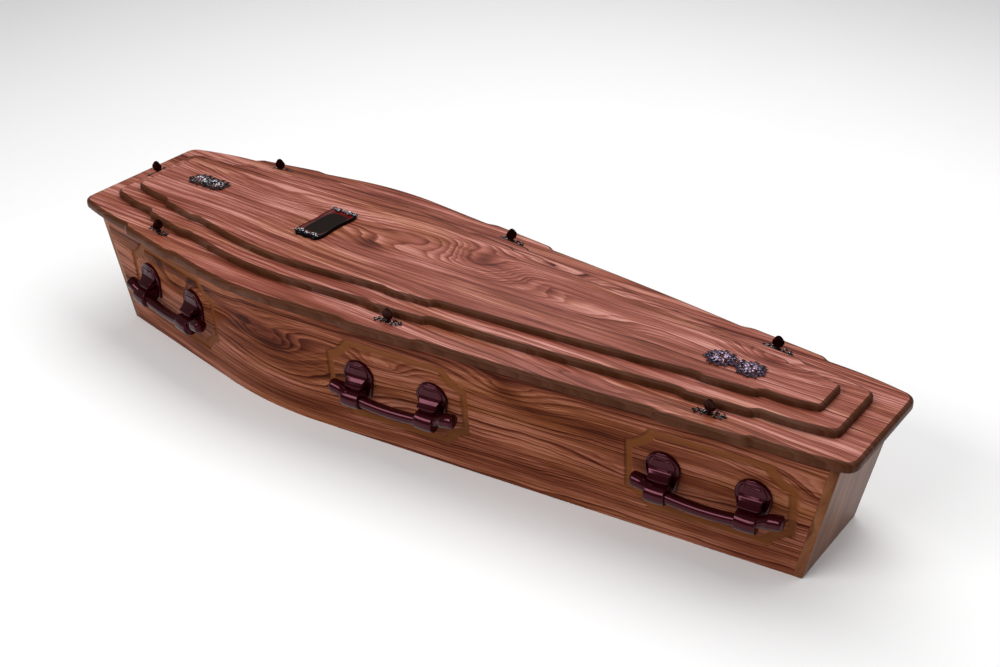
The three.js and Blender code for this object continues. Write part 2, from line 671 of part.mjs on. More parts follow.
function addLidScrew(name, x, y, along, turn) {
  const plate = addPiece(`escutcheon_${name}`, escutcheon(), antiqueMetal);
  plate.position.set(x, y, LID_TOP_Z);
  plate.rotation.z = along;
  const screw = addPiece(`lid_screw_${name}`, thumbPiece(), maroonPlastic);
  screw.position.set(x, y, LID_TOP_Z);
  screw.rotation.z = turn;
}

const headEdgeTurn = Math.atan(lidHeadSlope);
const footEdgeTurn = -Math.atan(lidFootSlope);

sideNames.forEach(([sideName, side]) => {
  SCREW_X.forEach((x, index) => {
    const y = side * (lidHalfWidth(x) + PAD_PROUD - SCREW_FROM_EDGE);
    const edgeTurn = side * (index === 0 ? headEdgeTurn : footEdgeTurn);
    addLidScrew(`${sideName}_${handleNames[index]}`, x, y, edgeTurn, SCREW_TURNS[sideName][index]);
  });
});

const headEndScrewX = -LID_HALF_LENGTH + SCREW_FROM_EDGE;
addLidScrew('head_end', headEndScrewX, HEAD_END_SCREW_Y, Math.PI / 2, SCREW_TURNS.headEnd);

// Nameplate: raised rim and scrolled ends round a sunk field

function nameplateOutline() {
  const halfLength = NAMEPLATE_LENGTH / 2;
  const waist = NAMEPLATE_WIDTH / 2 - NAMEPLATE_WAIST;
  const bulge = NAMEPLATE_WIDTH / 2 + NAMEPLATE_SCROLL;
  const shoulder = halfLength - NAMEPLATE_END_BAND;
  const scroll = shoulder + 2 * NAMEPLATE_SCROLL;
  const corner = halfLength - NAMEPLATE_SCROLL;
  const crest = halfLength + NAMEPLATE_SCROLL;
  const shape = new THREE.Shape();
  shape.moveTo(waist, -shoulder);
  shape.lineTo(waist, shoulder);
  shape.quadraticCurveTo(bulge, scroll, waist, corner);
  shape.quadraticCurveTo(0, crest, -waist, corner);
  shape.quadraticCurveTo(-bulge, scroll, -waist, shoulder);
  shape.lineTo(-waist, -shoulder);
  shape.quadraticCurveTo(-bulge, -scroll, -waist, -corner);
  shape.quadraticCurveTo(0, -crest, waist, -corner);
  shape.quadraticCurveTo(bulge, -scroll, waist, -shoulder);
  return shape;
}

function nameplate() {
  const body = extruded(nameplateOutline(), NAMEPLATE_THICKNESS);
  const field = new THREE.BoxGeometry(
    NAMEPLATE_WIDTH - 2 * NAMEPLATE_WAIST - 2 * NAMEPLATE_RIM,
    NAMEPLATE_LENGTH - 2 * NAMEPLATE_END_BAND,
    2 * NAMEPLATE_FIELD_DEPTH,
  );
  field.translate(0, 0, NAMEPLATE_THICKNESS);
  return cut(body, field);
}

const namePlate = addPiece('nameplate', nameplate(), maroonPlastic);
namePlate.position.set(-LID_HALF_LENGTH + NAMEPLATE_FROM_HEAD_END, NAMEPLATE_Y, UPPER_TIER_TOP_Z);

// Sprays: pointed leaves round a ring of blossoms, on a thin shared backing

function leafSolid(length, width, height, turn, distance) {
  const leaf = new THREE.SphereGeometry(1, 5, 4);
  leaf.scale(length / 2, width / 2, height);
  leaf.translate(distance, 0, 0);
  return leaf.rotateZ(turn);
}

function spray(blossoms) {
  const backing = new THREE.CylinderGeometry(1, 1, 2 * SPRAY_BACKING, 12);
  backing.rotateX(Math.PI / 2);
  backing.scale(SPRAY_HALF_LENGTH * 0.7, SPRAY_HALF_WIDTH * 0.7, 1);
  const pieces = [backing];
  for (let i = 0; i < SPRAY_LEAVES; i += 1) {
    const turn = 2 * Math.PI * (i + 0.5) / SPRAY_LEAVES;
    const reach = Math.hypot(Math.cos(turn) * SPRAY_HALF_LENGTH, Math.sin(turn) * SPRAY_HALF_WIDTH);
    const length = reach * SPRAY_LEAF_SHARE;
    const leafHeight = SPRAY_HEIGHT * SPRAY_LEAF_SHARE;
    pieces.push(leafSolid(length, SPRAY_LEAF_WIDTH, leafHeight, turn, reach - length / 2));
  }
  blossoms.forEach(([x, y, radius]) => {
    const blossom = new THREE.SphereGeometry(radius, 6, 4);
    blossom.scale(1, 1, SPRAY_HEIGHT / radius);
    pieces.push(blossom.translate(x, y, 0));
  });
  const above = new THREE.BoxGeometry(4 * SPRAY_HALF_LENGTH, 4 * SPRAY_HALF_WIDTH, SPRAY_HEIGHT * 2);
  above.translate(0, 0, SPRAY_HEIGHT);
  return common(joined(pieces), above);
}

const headSpray = addPiece('head_spray', spray(HEAD_BLOSSOMS), antiqueMetal);
headSpray.position.set(-LID_HALF_LENGTH + HEAD_SPRAY_FROM_HEAD_END, 0, UPPER_TIER_TOP_Z);
const footSpray = addPiece('foot_spray', spray(FOOT_BLOSSOMS), antiqueMetal);
footSpray.position.set(LID_HALF_LENGTH - FOOT_SPRAY_FROM_FOOT_END, FOOT_SPRAY_Y, UPPER_TIER_TOP_Z);

export default coffin;
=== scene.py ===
# A shouldered wooden coffin with a stepped lid, bar handles, lid screws, a nameplate and two cast sprays.
# Metres; X runs along the coffin with the foot end at +X, the near side is -Y and the floor is Z = 0.
import math

import bmesh
import bpy
import numpy as np
from mathutils import Matrix, Vector


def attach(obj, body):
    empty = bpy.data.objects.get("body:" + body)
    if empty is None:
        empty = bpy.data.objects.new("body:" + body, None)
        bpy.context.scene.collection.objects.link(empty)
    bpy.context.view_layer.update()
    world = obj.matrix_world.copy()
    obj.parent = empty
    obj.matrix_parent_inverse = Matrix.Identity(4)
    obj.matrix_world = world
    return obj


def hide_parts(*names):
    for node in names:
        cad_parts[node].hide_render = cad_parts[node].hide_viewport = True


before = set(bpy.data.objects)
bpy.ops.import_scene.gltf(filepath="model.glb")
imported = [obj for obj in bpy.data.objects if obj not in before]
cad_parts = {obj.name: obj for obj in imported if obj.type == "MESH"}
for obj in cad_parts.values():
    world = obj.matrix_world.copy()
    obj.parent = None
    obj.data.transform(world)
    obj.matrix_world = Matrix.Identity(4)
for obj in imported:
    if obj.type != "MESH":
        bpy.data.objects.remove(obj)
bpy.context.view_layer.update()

# The room: a plain pale floor, one softbox overhead and one on the near side, in a soft white surround.
# A long lens looks down at the coffin from beyond its near foot corner, 1.8 m above the floor.

MM = 0.001
X, Y, Z = 0, 1, 2
CAMERA_PLACE = (1.7379, -2.1297, 1.8191)
CAMERA_AZIMUTH = math.radians(37.0996)
CAMERA_ELEVATION = math.radians(30.9962)
CAMERA_ROLL = math.radians(-1.3474)
CAMERA_LENS_MM = 51.848
FLOOR_HALF_WIDTH, FLOOR_Z, FLOOR_LINES = 9000, -0.5, 7
SURROUND_STRENGTH, OVERHEAD_WATTS, NEAR_SIDE_WATTS = 0.24, 124, 104


def srgb(code):
    """Turns a display colour such as "9a6050" into a shader's linear red, green, blue and alpha."""
    parts = [int(code[i:i + 2], 16) / 255 for i in (0, 2, 4)]
    return (*(c / 12.92 if c <= 0.04045 else ((c + 0.055) / 1.055) ** 2.4 for c in parts), 1.0)


def new_material(name):
    """Makes an empty node material and returns it with its node tree and its Principled shader."""
    material = bpy.data.materials.new(name)
    material.use_nodes = True
    tree = material.node_tree
    return material, tree, tree.nodes["Principled BSDF"]


def feed(tree, socket, value):
    """Gives a socket a plain value, or links another node's output to it."""
    if isinstance(value, bpy.types.NodeSocket):
        tree.links.new(value, socket)
    else:
        socket.default_value = value


def add(tree, kind, inputs=None, **settings):
    """Adds one node. Settings are its properties, and inputs feeds its sockets by name or number."""
    node = tree.nodes.new("ShaderNode" + kind)
    for key, value in settings.items():
        setattr(node, key, value)
    for key, value in (inputs or {}).items():
        feed(tree, node.inputs[key], value)
    return node


def remap(tree, value, low=0.0, high=1.0, to_low=0.0, to_high=1.0):
    """Maps a value from one range onto another in a straight line, held at both ends."""
    return add(tree, "MapRange", {"Value": value, 1: low, 2: high, 3: to_low, 4: to_high}).outputs[0]


def colour_ramp(tree, factor, stops):
    """Blends display colours by a factor; stops are places and colours in rising order."""
    node = add(tree, "ValToRGB", {0: factor})
    elements = node.color_ramp.elements
    elements[0].color, elements[1].color = srgb(stops[0][1]), srgb(stops[-1][1])
    elements[0].position, elements[1].position = stops[0][0], stops[-1][0]
    for place, code in stops[1:-1]:
        elements.new(place).color = srgb(code)
    return node.outputs[0]


def set_shader(tree, shader, **inputs):
    """Feeds a shader's sockets; a space in a socket's name is written as an underscore."""
    for key, value in inputs.items():
        feed(tree, shader.inputs[key.replace("_", " ")], value)


def grid_quads(number):
    """The four-cornered faces of a grid of point numbers."""
    corners = (number[:-1, :-1], number[1:, :-1], number[1:, 1:], number[:-1, 1:])
    return np.stack(corners, -1).reshape(-1, 4)


def mesh_object(name, points_mm, faces, material, sharp_degrees=30):
    """Makes a closed, smooth-shaded mesh from points in millimetres, with outward normals and crisp edges."""
    mesh = bpy.data.meshes.new(name)
    mesh.from_pydata((np.asarray(points_mm) * MM).tolist(), [], faces)
    shape = bmesh.new()
    shape.from_mesh(mesh)
    bmesh.ops.recalc_face_normals(shape, faces=shape.faces)
    shape.to_mesh(mesh)
    shape.free()
    mesh.shade_smooth()
    mesh.set_sharp_from_angle(angle=math.radians(sharp_degrees))
    mesh.materials.append(material)
    thing = bpy.data.objects.new(name, mesh)
    bpy.context.scene.collection.objects.link(thing)
    return thing


def store(thing, name, values):
    """Stores one number on each point of a piece, for its material to read."""
    layer = thing.data.attributes.new(name, "FLOAT", "POINT")
    layer.data.foreach_set("value", np.asarray(values).ravel().astype(np.float32))


def show_as(thing, node):
    """Lets a finished piece stand for its plain solid: hangs it under the root body and hides the solid."""
    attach(thing, "root")
    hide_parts(node)


def room():
    """Lays the floor, hangs the lamps and stands the camera."""
    scene = bpy.context.scene
    scene.view_settings.view_transform = "Standard"
    material, tree, shader = new_material("pale studio floor")
    place = add(tree, "TexCoord").outputs["Object"]
    mottle = add(tree, "TexNoise", {"Vector": place, "Scale": 3.0, "Detail": 2.0}).outputs[0]
    tone = remap(tree, mottle, to_low=0.93, to_high=0.95)
    grey = add(tree, "CombineColor", {0: tone, 1: tone, 2: tone})
    set_shader(tree, shader, Base_Color=grey.outputs[0], Roughness=0.9)
    steps = np.linspace(-FLOOR_HALF_WIDTH, FLOOR_HALF_WIDTH, FLOOR_LINES)
    x, y = np.meshgrid(steps, steps, indexing="ij")
    points = np.stack([x, y, np.full_like(x, FLOOR_Z)], -1).reshape(-1, 3)
    quads = grid_quads(np.arange(x.size).reshape(x.shape))
    floor = mesh_object("floor", points, quads.tolist(), material)

    world = bpy.data.worlds.new("soft white surround")
    scene.world = world
    world.use_nodes = True
    background = world.node_tree.nodes["Background"].inputs
    background["Color"].default_value = (1.0, 1.0, 1.0, 1.0)
    background["Strength"].default_value = SURROUND_STRENGTH

    def lamp(name, place, towards, size, power):
        light = bpy.data.lights.new(name, "AREA")
        light.shape = "RECTANGLE"
        light.size, light.size_y = size
        light.energy = power
        thing = bpy.data.objects.new(name, light)
        thing.location = place
        thing.rotation_euler = (Vector(towards) - Vector(place)).to_track_quat("-Z", "Y").to_euler()
        scene.collection.objects.link(thing)

    lamp("overhead softbox", (0.3, 1.4, 3.3), (0.1, 0.1, 0), (5.6, 2.6), OVERHEAD_WATTS)
    lamp("near side softbox", (-0.7, -3.1, 2.7), (0.1, 0, 0.1), (3.4, 1.4), NEAR_SIDE_WATTS)

    side, lift = math.sin(CAMERA_AZIMUTH), math.sin(CAMERA_ELEVATION)
    level = math.cos(CAMERA_ELEVATION)
    back = Vector((side * level, -math.cos(CAMERA_AZIMUTH) * level, lift))
    right = (-back).cross(Vector((0, 0, 1))).normalized()
    up = right.cross(-back)
    turn, lean = math.cos(CAMERA_ROLL), math.sin(CAMERA_ROLL)
    across, above = right * turn + up * lean, up * turn - right * lean
    camera = bpy.data.objects.new("camera", bpy.data.cameras.new("camera"))
    camera.data.lens = CAMERA_LENS_MM
    facing = Matrix((across, above, back)).transposed().to_4x4()
    camera.matrix_world = Matrix.Translation(CAMERA_PLACE) @ facing
    scene.collection.objects.link(camera)
    scene.camera = camera


room()

# The body: two long boards bent at the shoulder, a head and a foot board lapped over their ends, and a base.
# All are fibreboard wrapped in a walnut-figured foil, glued and pinned at the joints, and each long board
# has three panels routed through its foil. The base is bare.

HEAD_X, HEAD_HALF_WIDTH, HEAD_FLARE = -899, 164, 69
FOOT_X, FOOT_HALF_WIDTH, FOOT_FLARE = 921, 117.5, 55
SHOULDER_X, SHOULDER_HALF_WIDTH, SHOULDER_REACH = -335, 267, 145
HEAD_SLOPE = (SHOULDER_HALF_WIDTH - HEAD_HALF_WIDTH) / (SHOULDER_X - HEAD_X)
FOOT_SLOPE = -(SHOULDER_HALF_WIDTH - FOOT_HALF_WIDTH) / (FOOT_X - SHOULDER_X)
BODY_HEIGHT, BOARD, JOINT_GAP = 288, 18, 0.3
SIDE_LEAN = 16 / BODY_HEIGHT
HEAD_FLARE_LENGTH, FOOT_FLARE_LENGTH = 30, 5
PANEL_CENTRES_X, PANEL_Z = (-677, 25, 726), 151
PANEL_LENGTH, PANEL_HEIGHT = 352, 198
NOTCH_LENGTH, NOTCH_HEIGHT, NOTCH_LIP, NOTCH_HOLLOW = 48, 40, 3, 7
GROOVE_WIDTH, GROOVE_DEPTH, GROOVE_WALL = 18, 4, 3.5
GRID_FINE, GRID_COARSE, GRID_MARGIN = 1.8, 12, 3
GOLDEN_TINT, ROUTED_SHINE = "d4cc59", 0.04
BROAD_RINGS, THIN_RINGS = 46.0, 125.0


def foil(name, along, across, slice_by, colours, knots=(), routed_and_edge_shade=None, fine=1.0, shine=0.3):
    """Walnut-figured foil. Its rings are level lines of the height across the grain, bent by slow noise and
    raised round each knot; the knots in a chain along the heart line make the cathedrals. Each ring darkens
    slowly and ends sharply, with its own strength. Fine fibres, pores, streaks, broad bands and golden
    patches lie over them, and a dark stain in the middle of each stained knot.

    along and across are the axes with and over the grain, and slice_by is the axis that changes the figure
    from one board to the other. colours go from dark to light. A knot is its place along and across, its
    reach both ways, and its stain. routed_and_edge_shade is a dull colour mixed in where the points' mask is
    set: the bare board where the cutter went through the long boards' foil, and painted shade on the lid's
    rounded edges."""
    material, tree, shader = new_material(name)
    place = add(tree, "TexCoord").outputs["Object"]
    split = add(tree, "SeparateXYZ", {0: place}).outputs
    u, v = split[along], split[across]
    layer = split[slice_by] if slice_by is not None else 0.0

    def maths(operation, a, b=0.0):
        return add(tree, "Math", {0: a, 1: b}, operation=operation).outputs[0]

    def plus(*terms):
        total = terms[0]
        for term in terms[1:]:
            total = maths("ADD", total, term)
        return total

    def scaled(value, factor):
        return maths("MULTIPLY", value, factor)

    def noise(along_scale, across_scale, detail=2.0, rough=0.5, shift=0.0):
        spot = add(tree, "CombineXYZ", {0: scaled(u, along_scale), 1: scaled(v, across_scale),
                                        2: plus(scaled(layer, 1.5), shift)}).outputs[0]
        settings = {"Vector": spot, "Scale": 1.0, "Detail": detail, "Roughness": rough}
        return add(tree, "TexNoise", settings).outputs[0]

    def line_noise(value, shift):
        spot = add(tree, "CombineXYZ", {0: value, 1: shift}).outputs[0]
        return add(tree, "TexNoise", {"Vector": spot, "Scale": 1.0, "Detail": 1.0}).outputs[0]

    def hump(x, y, reach_x, reach_y):
        dx = scaled(plus(u, -x), 1 / reach_x)
        dy = scaled(plus(v, -y), 1 / reach_y)
        square = plus(maths("MULTIPLY", dx, dx), maths("MULTIPLY", dy, dy))
        return maths("EXPONENT", maths("MULTIPLY", square, -1.0))

    def rings(count, sharpness, seed):
        saw = maths("FRACT", count)
        strength = line_noise(scaled(maths("FLOOR", count), 3.7), seed)
        strength = remap(tree, strength, 0.34, 0.66, 0.05, 1.0)
        close = remap(tree, saw, 0.9, 1.0, 1.0, 0.0)
        return maths("MULTIPLY", maths("MULTIPLY", maths("POWER", saw, sharpness), strength), close)

    drift = scaled(plus(noise(1.1, 3.0, 1.0), -0.5), 0.10)
    wobble = scaled(plus(noise(6.0, 22.0, 2.0, 0.55, 3.0), -0.5), 0.018)
    height = plus(v, drift, wobble)
    stain = 0.0
    for x, y, reach_x, reach_y, depth in knots:
        swell = hump(x, y, reach_x, reach_y)
        height = plus(height, scaled(swell, reach_y * 1.1))
        if depth:
            stain = plus(stain, scaled(hump(x, y, reach_x * 0.3, reach_y * 0.34), depth))
    bend = scaled(line_noise(scaled(height, 21.0), 0.0), 2.6)
    broad = rings(plus(scaled(height, BROAD_RINGS * fine), bend), 3.2, 5.0)
    bend = scaled(line_noise(scaled(height, 50.0), 1.0), 3.0)
    thin = rings(plus(scaled(height, THIN_RINGS * fine), bend), 2.0, 8.0)
    fibres = noise(7.0, 420.0, 3.0, 0.6, 7.0)
    pores = remap(tree, noise(42.0, 900.0, 1.0, 0.5, 9.0), 0.60, 0.72)
    streaks = noise(1.7, 30.0, 3.0, 0.65, 11.0)
    cloud = noise(2.6, 7.0, 2.0, 0.5, 13.0)
    bands = remap(tree, noise(1.1, 13.0, 2.0, 0.5, 17.0), 0.54, 0.70)
    light = plus(0.9, scaled(broad, -0.78), scaled(thin, -0.74), scaled(plus(fibres, -0.5), 0.8),
                 scaled(plus(streaks, -0.5), 1.3), scaled(plus(cloud, -0.5), 0.5), scaled(bands, -0.2),
                 scaled(pores, -0.14))
    if knots:
        shade = maths("MULTIPLY", stain, plus(scaled(streaks, 0.8), scaled(cloud, 0.5)))
        light = plus(light, scaled(shade, -0.6))
    colour = colour_ramp(tree, light, list(zip((0.0, 0.3, 0.55, 0.8, 1.0), colours)))
    golden = remap(tree, noise(2.2, 16.0, 2.0, 0.5, 23.0), 0.45, 0.72, 0.0, 0.55)
    colour = add(tree, "Mix", {6: colour, 7: srgb(GOLDEN_TINT), 0: golden}, data_type="RGBA",
                 blend_type="MULTIPLY").outputs[2]
    if routed_and_edge_shade:
        # Where this mask is set the colour turns dull: on the long boards it is the routed groove's own
        # colour, on the lid it is painted shade on the rounded edges.
        bare_and_edge_shade = add(tree, "Attribute", attribute_name="routed_and_edge_shade").outputs["Fac"]
        bare_and_edge_shade = maths("MULTIPLY", bare_and_edge_shade, remap(tree, fibres, to_low=0.75))
        colour = add(tree, "Mix", {6: colour, 7: srgb(routed_and_edge_shade), 0: bare_and_edge_shade}, data_type="RGBA").outputs[2]
        shine = remap(tree, bare_and_edge_shade, to_low=shine, to_high=ROUTED_SHINE)
    relief = plus(fibres, scaled(pores, -0.6))
    bump = add(tree, "Bump", {"Height": relief, "Strength": 0.12, "Distance": 0.0003}).outputs[0]
    gloss = remap(tree, fibres, to_low=0.26, to_high=0.38)
    set_shader(tree, shader, Base_Color=colour, Roughness=gloss, Normal=bump, Specular_IOR_Level=shine)
    return material


def half_width(x):
    """Half the body's width on the floor, with the shoulder rounded by a parabola between its two lines."""
    head = SHOULDER_HALF_WIDTH + HEAD_SLOPE * (x - SHOULDER_X)
    foot = SHOULDER_HALF_WIDTH + FOOT_SLOPE * (x - SHOULDER_X)
    t = np.clip((x - SHOULDER_X) / (2 * SHOULDER_REACH) + 0.5, 0, 1)
    bend = (HEAD_SLOPE - FOOT_SLOPE) * SHOULDER_REACH * (1 - t) * t
    straight = np.where(x < SHOULDER_X, head, foot)
    rounded = head * (1 - t) + foot * t - bend
    return np.where((t > 0) & (t < 1), rounded, straight)


def notch_line():
    """The hollow corner of a panel as insets from its end and from its top: two short lips and a parabola."""
    t = np.linspace(0, 1, 15)
    a, b = NOTCH_LENGTH, NOTCH_HEIGHT
    middle_a, middle_b = (a + NOTCH_LIP) / 2 + NOTCH_HOLLOW, (b + NOTCH_LIP) / 2 + NOTCH_HOLLOW
    from_end = a * (1 - t) ** 2 + 2 * middle_a * t * (1 - t) + NOTCH_LIP * t ** 2
    from_top = NOTCH_LIP * (1 - t) ** 2 + 2 * middle_b * t * (1 - t) + b * t ** 2
    from_end = np.concatenate([[a], from_end, [0]])
    from_top = np.concatenate([[0], from_top, [b]])
    return (from_end - from_top)[::-1], from_end[::-1]


def panel_margin(x, z):
    """How far a point of the side lies inside the nearest panel's notched outline, in millimetres."""
    best = np.full(np.broadcast(x, z).shape, -99.0)
    spread, from_end = notch_line()
    for centre in PANEL_CENTRES_X:
        slope = HEAD_SLOPE if centre < SHOULDER_X else FOOT_SLOPE
        a = PANEL_LENGTH / 2 - np.abs(x - centre) * math.hypot(1, slope)
        b = PANEL_HEIGHT / 2 - np.abs(z - PANEL_Z) * math.hypot(1, SIDE_LEAN) + 0 * a
        in_notch = (a - b > -NOTCH_HEIGHT) & (a - b < NOTCH_LENGTH)
        margin = np.where(in_notch, a - np.interp(a - b, spread, from_end), np.minimum(a, b))
        best = np.maximum(best, margin)
    return best


def groove_depth(x, z):
    """Depth of the routed groove: a flat-bottomed band with softly rounded walls."""
    margin = panel_margin(x, z)
    rise = np.clip(margin / GROOVE_WALL, 0, 1)
    fall = np.clip((GROOVE_WIDTH - margin) / GROOVE_WALL, 0, 1)
    level = np.minimum(rise, fall)
    return GROOVE_DEPTH * level * level * (3 - 2 * level)


def fine_lines(start, end, spans, fine, coarse):
    """Grid lines from start to end, close together inside the spans and wide apart elsewhere."""
    lines = [start]
    while lines[-1] < end - 0.01:
        here = lines[-1]
        inside = any(a - 0.01 <= here < b for a, b in spans)
        ahead = min([a for a, b in spans if a > here + 0.01] + [end])
        lines.append(min(here + fine, end) if inside else min(here + coarse, ahead, end))
    return np.array(lines)


def side_board(side):
    """One long board. Its outer face is a grid with the grooves sunk in it, close where a groove runs, and
    its inner face is the same grid without them. Both ends lean outward with height, to the end boards."""
    reach = NOTCH_LENGTH + GROOVE_WIDTH + 6

    def both_ends(centre, half):
        return [(centre - half - GRID_MARGIN, centre - half + reach),
                (centre + half - reach, centre + half + GRID_MARGIN)]

    x_spans = []
    for centre in PANEL_CENTRES_X:
        x_spans += both_ends(centre, PANEL_LENGTH / 2 / math.hypot(1, FOOT_SLOPE))
    z_spans = both_ends(PANEL_Z, PANEL_HEIGHT / 2)
    start, end = HEAD_X + BOARD + JOINT_GAP, FOOT_X - BOARD - JOINT_GAP
    x = fine_lines(start, end, x_spans, GRID_FINE, GRID_COARSE)[:, None]
    z = fine_lines(0, BODY_HEIGHT, z_spans, GRID_FINE, GRID_COARSE)[None, :]
    head_pull = np.clip((x[0] + HEAD_FLARE_LENGTH - x) / HEAD_FLARE_LENGTH, 0, 1) * HEAD_FLARE / BODY_HEIGHT
    foot_pull = np.clip((x - x[-1] + FOOT_FLARE_LENGTH) / FOOT_FLARE_LENGTH, 0, 1) * FOOT_FLARE / BODY_HEIGHT
    x = x + (foot_pull - head_pull) * z
    z = z + 0 * x
    depth = groove_depth(x, z)
    outer = half_width(x) + SIDE_LEAN * z - depth
    inner = half_width(x) + SIDE_LEAN * z - BOARD
    rows, cols = x.shape
    outside = np.stack([x, side * outer, z], -1).reshape(-1, 3)
    inside = np.stack([x, side * inner, z], -1).reshape(-1, 3)
    number = np.arange(rows * cols).reshape(rows, cols)
    quads = grid_quads(number)
    back = quads[:, ::-1] + rows * cols
    rim = np.concatenate([number[:, 0], number[-1, 1:], number[-2::-1, -1], number[0, -2:0:-1]])
    after = np.roll(rim, -1)
    edge = np.stack([rim, rim + rows * cols, after + rows * cols, after], -1)
    faces = np.concatenate([quads, back, edge]).tolist()
    name = "near" if side < 0 else "far"
    board = mesh_object(f"{name}_long_board", np.concatenate([outside, inside]), faces, shaded_side_foil)
    store(board, "routed_and_edge_shade", np.concatenate([depth.ravel() / GROOVE_DEPTH, np.zeros(rows * cols)]))
    show_as(board, f"side_board_{name}")


SIDE_KNOTS = ((-0.30, 0.17, 0.17, 0.05, 0.9), (0.290, 0.235, 0.12, 0.035, 1.0),
              (-0.01, 0.205, 0.10, 0.035, 0.0), (-0.66, 0.19, 0.13, 0.04, 0.5),
              (0.62, 0.12, 0.2, 0.03, 0.0), (-0.25, 0.10, 0.25, 0.04, 0.3), (0.98, 0.2, 0.12, 0.04, 0.4))
# The long boards take a darker copy of the lid's foil. The darkening is painted shade on the upright sides,
# while the groove colour is the routed board's own.
shaded_side_foil = foil("walnut foil on the long boards", X, Z, Y,
                 ("1e0602", "42190d", "623121", "804833", "a06653"),
                 SIDE_KNOTS, routed_and_edge_shade="6e3f1e", fine=1.2, shine=0.03)
end_foil = foil("paler walnut foil on the end boards", Z, Y, X,
                ("341408", "4e2814", "643a26", "7a4c36", "8c5e48"), shine=0.06)
raw_board = foil("plain fibreboard base", X, Y, Z, ("6a4c34", "7a5c40", "8c6a4c", "9c7a5a", "a88868"))
side_board(-1)
side_board(1)
for node, material in (("head_board", end_foil), ("foot_board", end_foil), ("base_board", raw_board)):
    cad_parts[node].data.materials[0] = material

# The lid: three foiled fibreboards stacked and glued, each routed to the same outline at its own inset, with
# rounded edges that step out at each screw. It lies loose on the body and only the lid screws hold it. The
# foil is drawn over all three boards, so one figure runs across the flats.

LID_HALF_LENGTH = 1005
LID_HEAD_HALF, LID_HEAD_SLOPE = 184, 0.19
LID_FOOT_HALF, LID_FOOT_SLOPE = 140, 0.114
LID_BEND_REACH, SWELL = 130, 8
SCREW_X = (-709, 2, 713)
PAD_HALF, PAD_HALF_PER_INSET, PAD_PROUD, PAD_EASE = 75, 0.3, 8.5, 34
LID_TOP_Z, LOWER_TIER_TOP_Z, UPPER_TIER_TOP_Z = 309, 327, 343
QUIRK, LOW_ROUND_EDGE_SHADE = 0.8, 0.4


def lid_lines(inset):
    """The head line and the foot line of a lid edge at an inset, and where they cross."""
    def head(x):
        return LID_HEAD_HALF - inset * math.hypot(1, LID_HEAD_SLOPE) + LID_HEAD_SLOPE * (x + LID_HALF_LENGTH)

    def foot(x):
        return LID_FOOT_HALF - inset * math.hypot(1, LID_FOOT_SLOPE) + LID_FOOT_SLOPE * (LID_HALF_LENGTH - x)

    return head, foot, (foot(0) - head(0)) / (LID_HEAD_SLOPE + LID_FOOT_SLOPE)


def curve(points, count):
    """A straight, quadratic or cubic stroke through 2, 3 or 4 control points, without its first point."""
    t = np.linspace(0, 1, count + 1)[1:, None]
    layer = [np.array(point, float) + 0 * t for point in points]
    while len(layer) > 1:
        layer = [a * (1 - t) + b * t for a, b in zip(layer, layer[1:])]
    return layer[0]


def long_edge(inset, foot_inset, corner):
    """Half of a lid board's outline from the middle of one corner to the other, as x and half width."""
    head, foot, shoulder = lid_lines(inset)

    def half(x):
        return min(head(x), foot(x))

    pad_half = PAD_HALF - PAD_HALF_PER_INSET * inset
    head_x, foot_x = -LID_HALF_LENGTH + inset, LID_HALF_LENGTH - foot_inset
    x = head_x + corner
    strokes = [np.array([[head_x, half(head_x) - corner]]),
               curve([(head_x, half(head_x) - corner), (head_x, half(head_x)), (x, half(x))], 10)]

    def swell_to(x, end):
        middle = (x + end) / 2
        strokes.append(curve([(x, half(x)), (middle, half(middle) + SWELL), (end, half(end))], 26))

    for index, screw_x in enumerate(SCREW_X):
        start, end = screw_x - pad_half, screw_x + pad_half
        before, after = start - PAD_EASE, end + PAD_EASE
        if index == 1:
            bend_in, bend_out = shoulder - LID_BEND_REACH, shoulder + LID_BEND_REACH
            strokes.append(curve([(x, half(x)), (bend_in, half(bend_in))], 6))
            strokes.append(curve([(bend_in, half(bend_in)), (shoulder, head(shoulder)),
                                  (bend_out, half(bend_out))], 40))
            strokes.append(curve([(bend_out, half(bend_out)), (before, half(before))], 6))
        else:
            swell_to(x, before)
        ease = (before + start) / 2
        strokes.append(curve([(before, half(before)), (ease, half(before)), (ease, half(start) + PAD_PROUD),
                              (start, half(start) + PAD_PROUD)], 12))
        strokes.append(curve([(start, half(start) + PAD_PROUD), (end, half(end) + PAD_PROUD)], 6))
        ease = (end + after) / 2
        strokes.append(curve([(end, half(end) + PAD_PROUD), (ease, half(end) + PAD_PROUD),
                              (ease, half(after)), (after, half(after))], 12))
        x = after
    swell_to(x, foot_x - corner)
    strokes.append(curve([(foot_x - corner, half(foot_x - corner)), (foot_x, half(foot_x)),
                          (foot_x, half(foot_x) - corner)], 10))
    return np.concatenate(strokes)


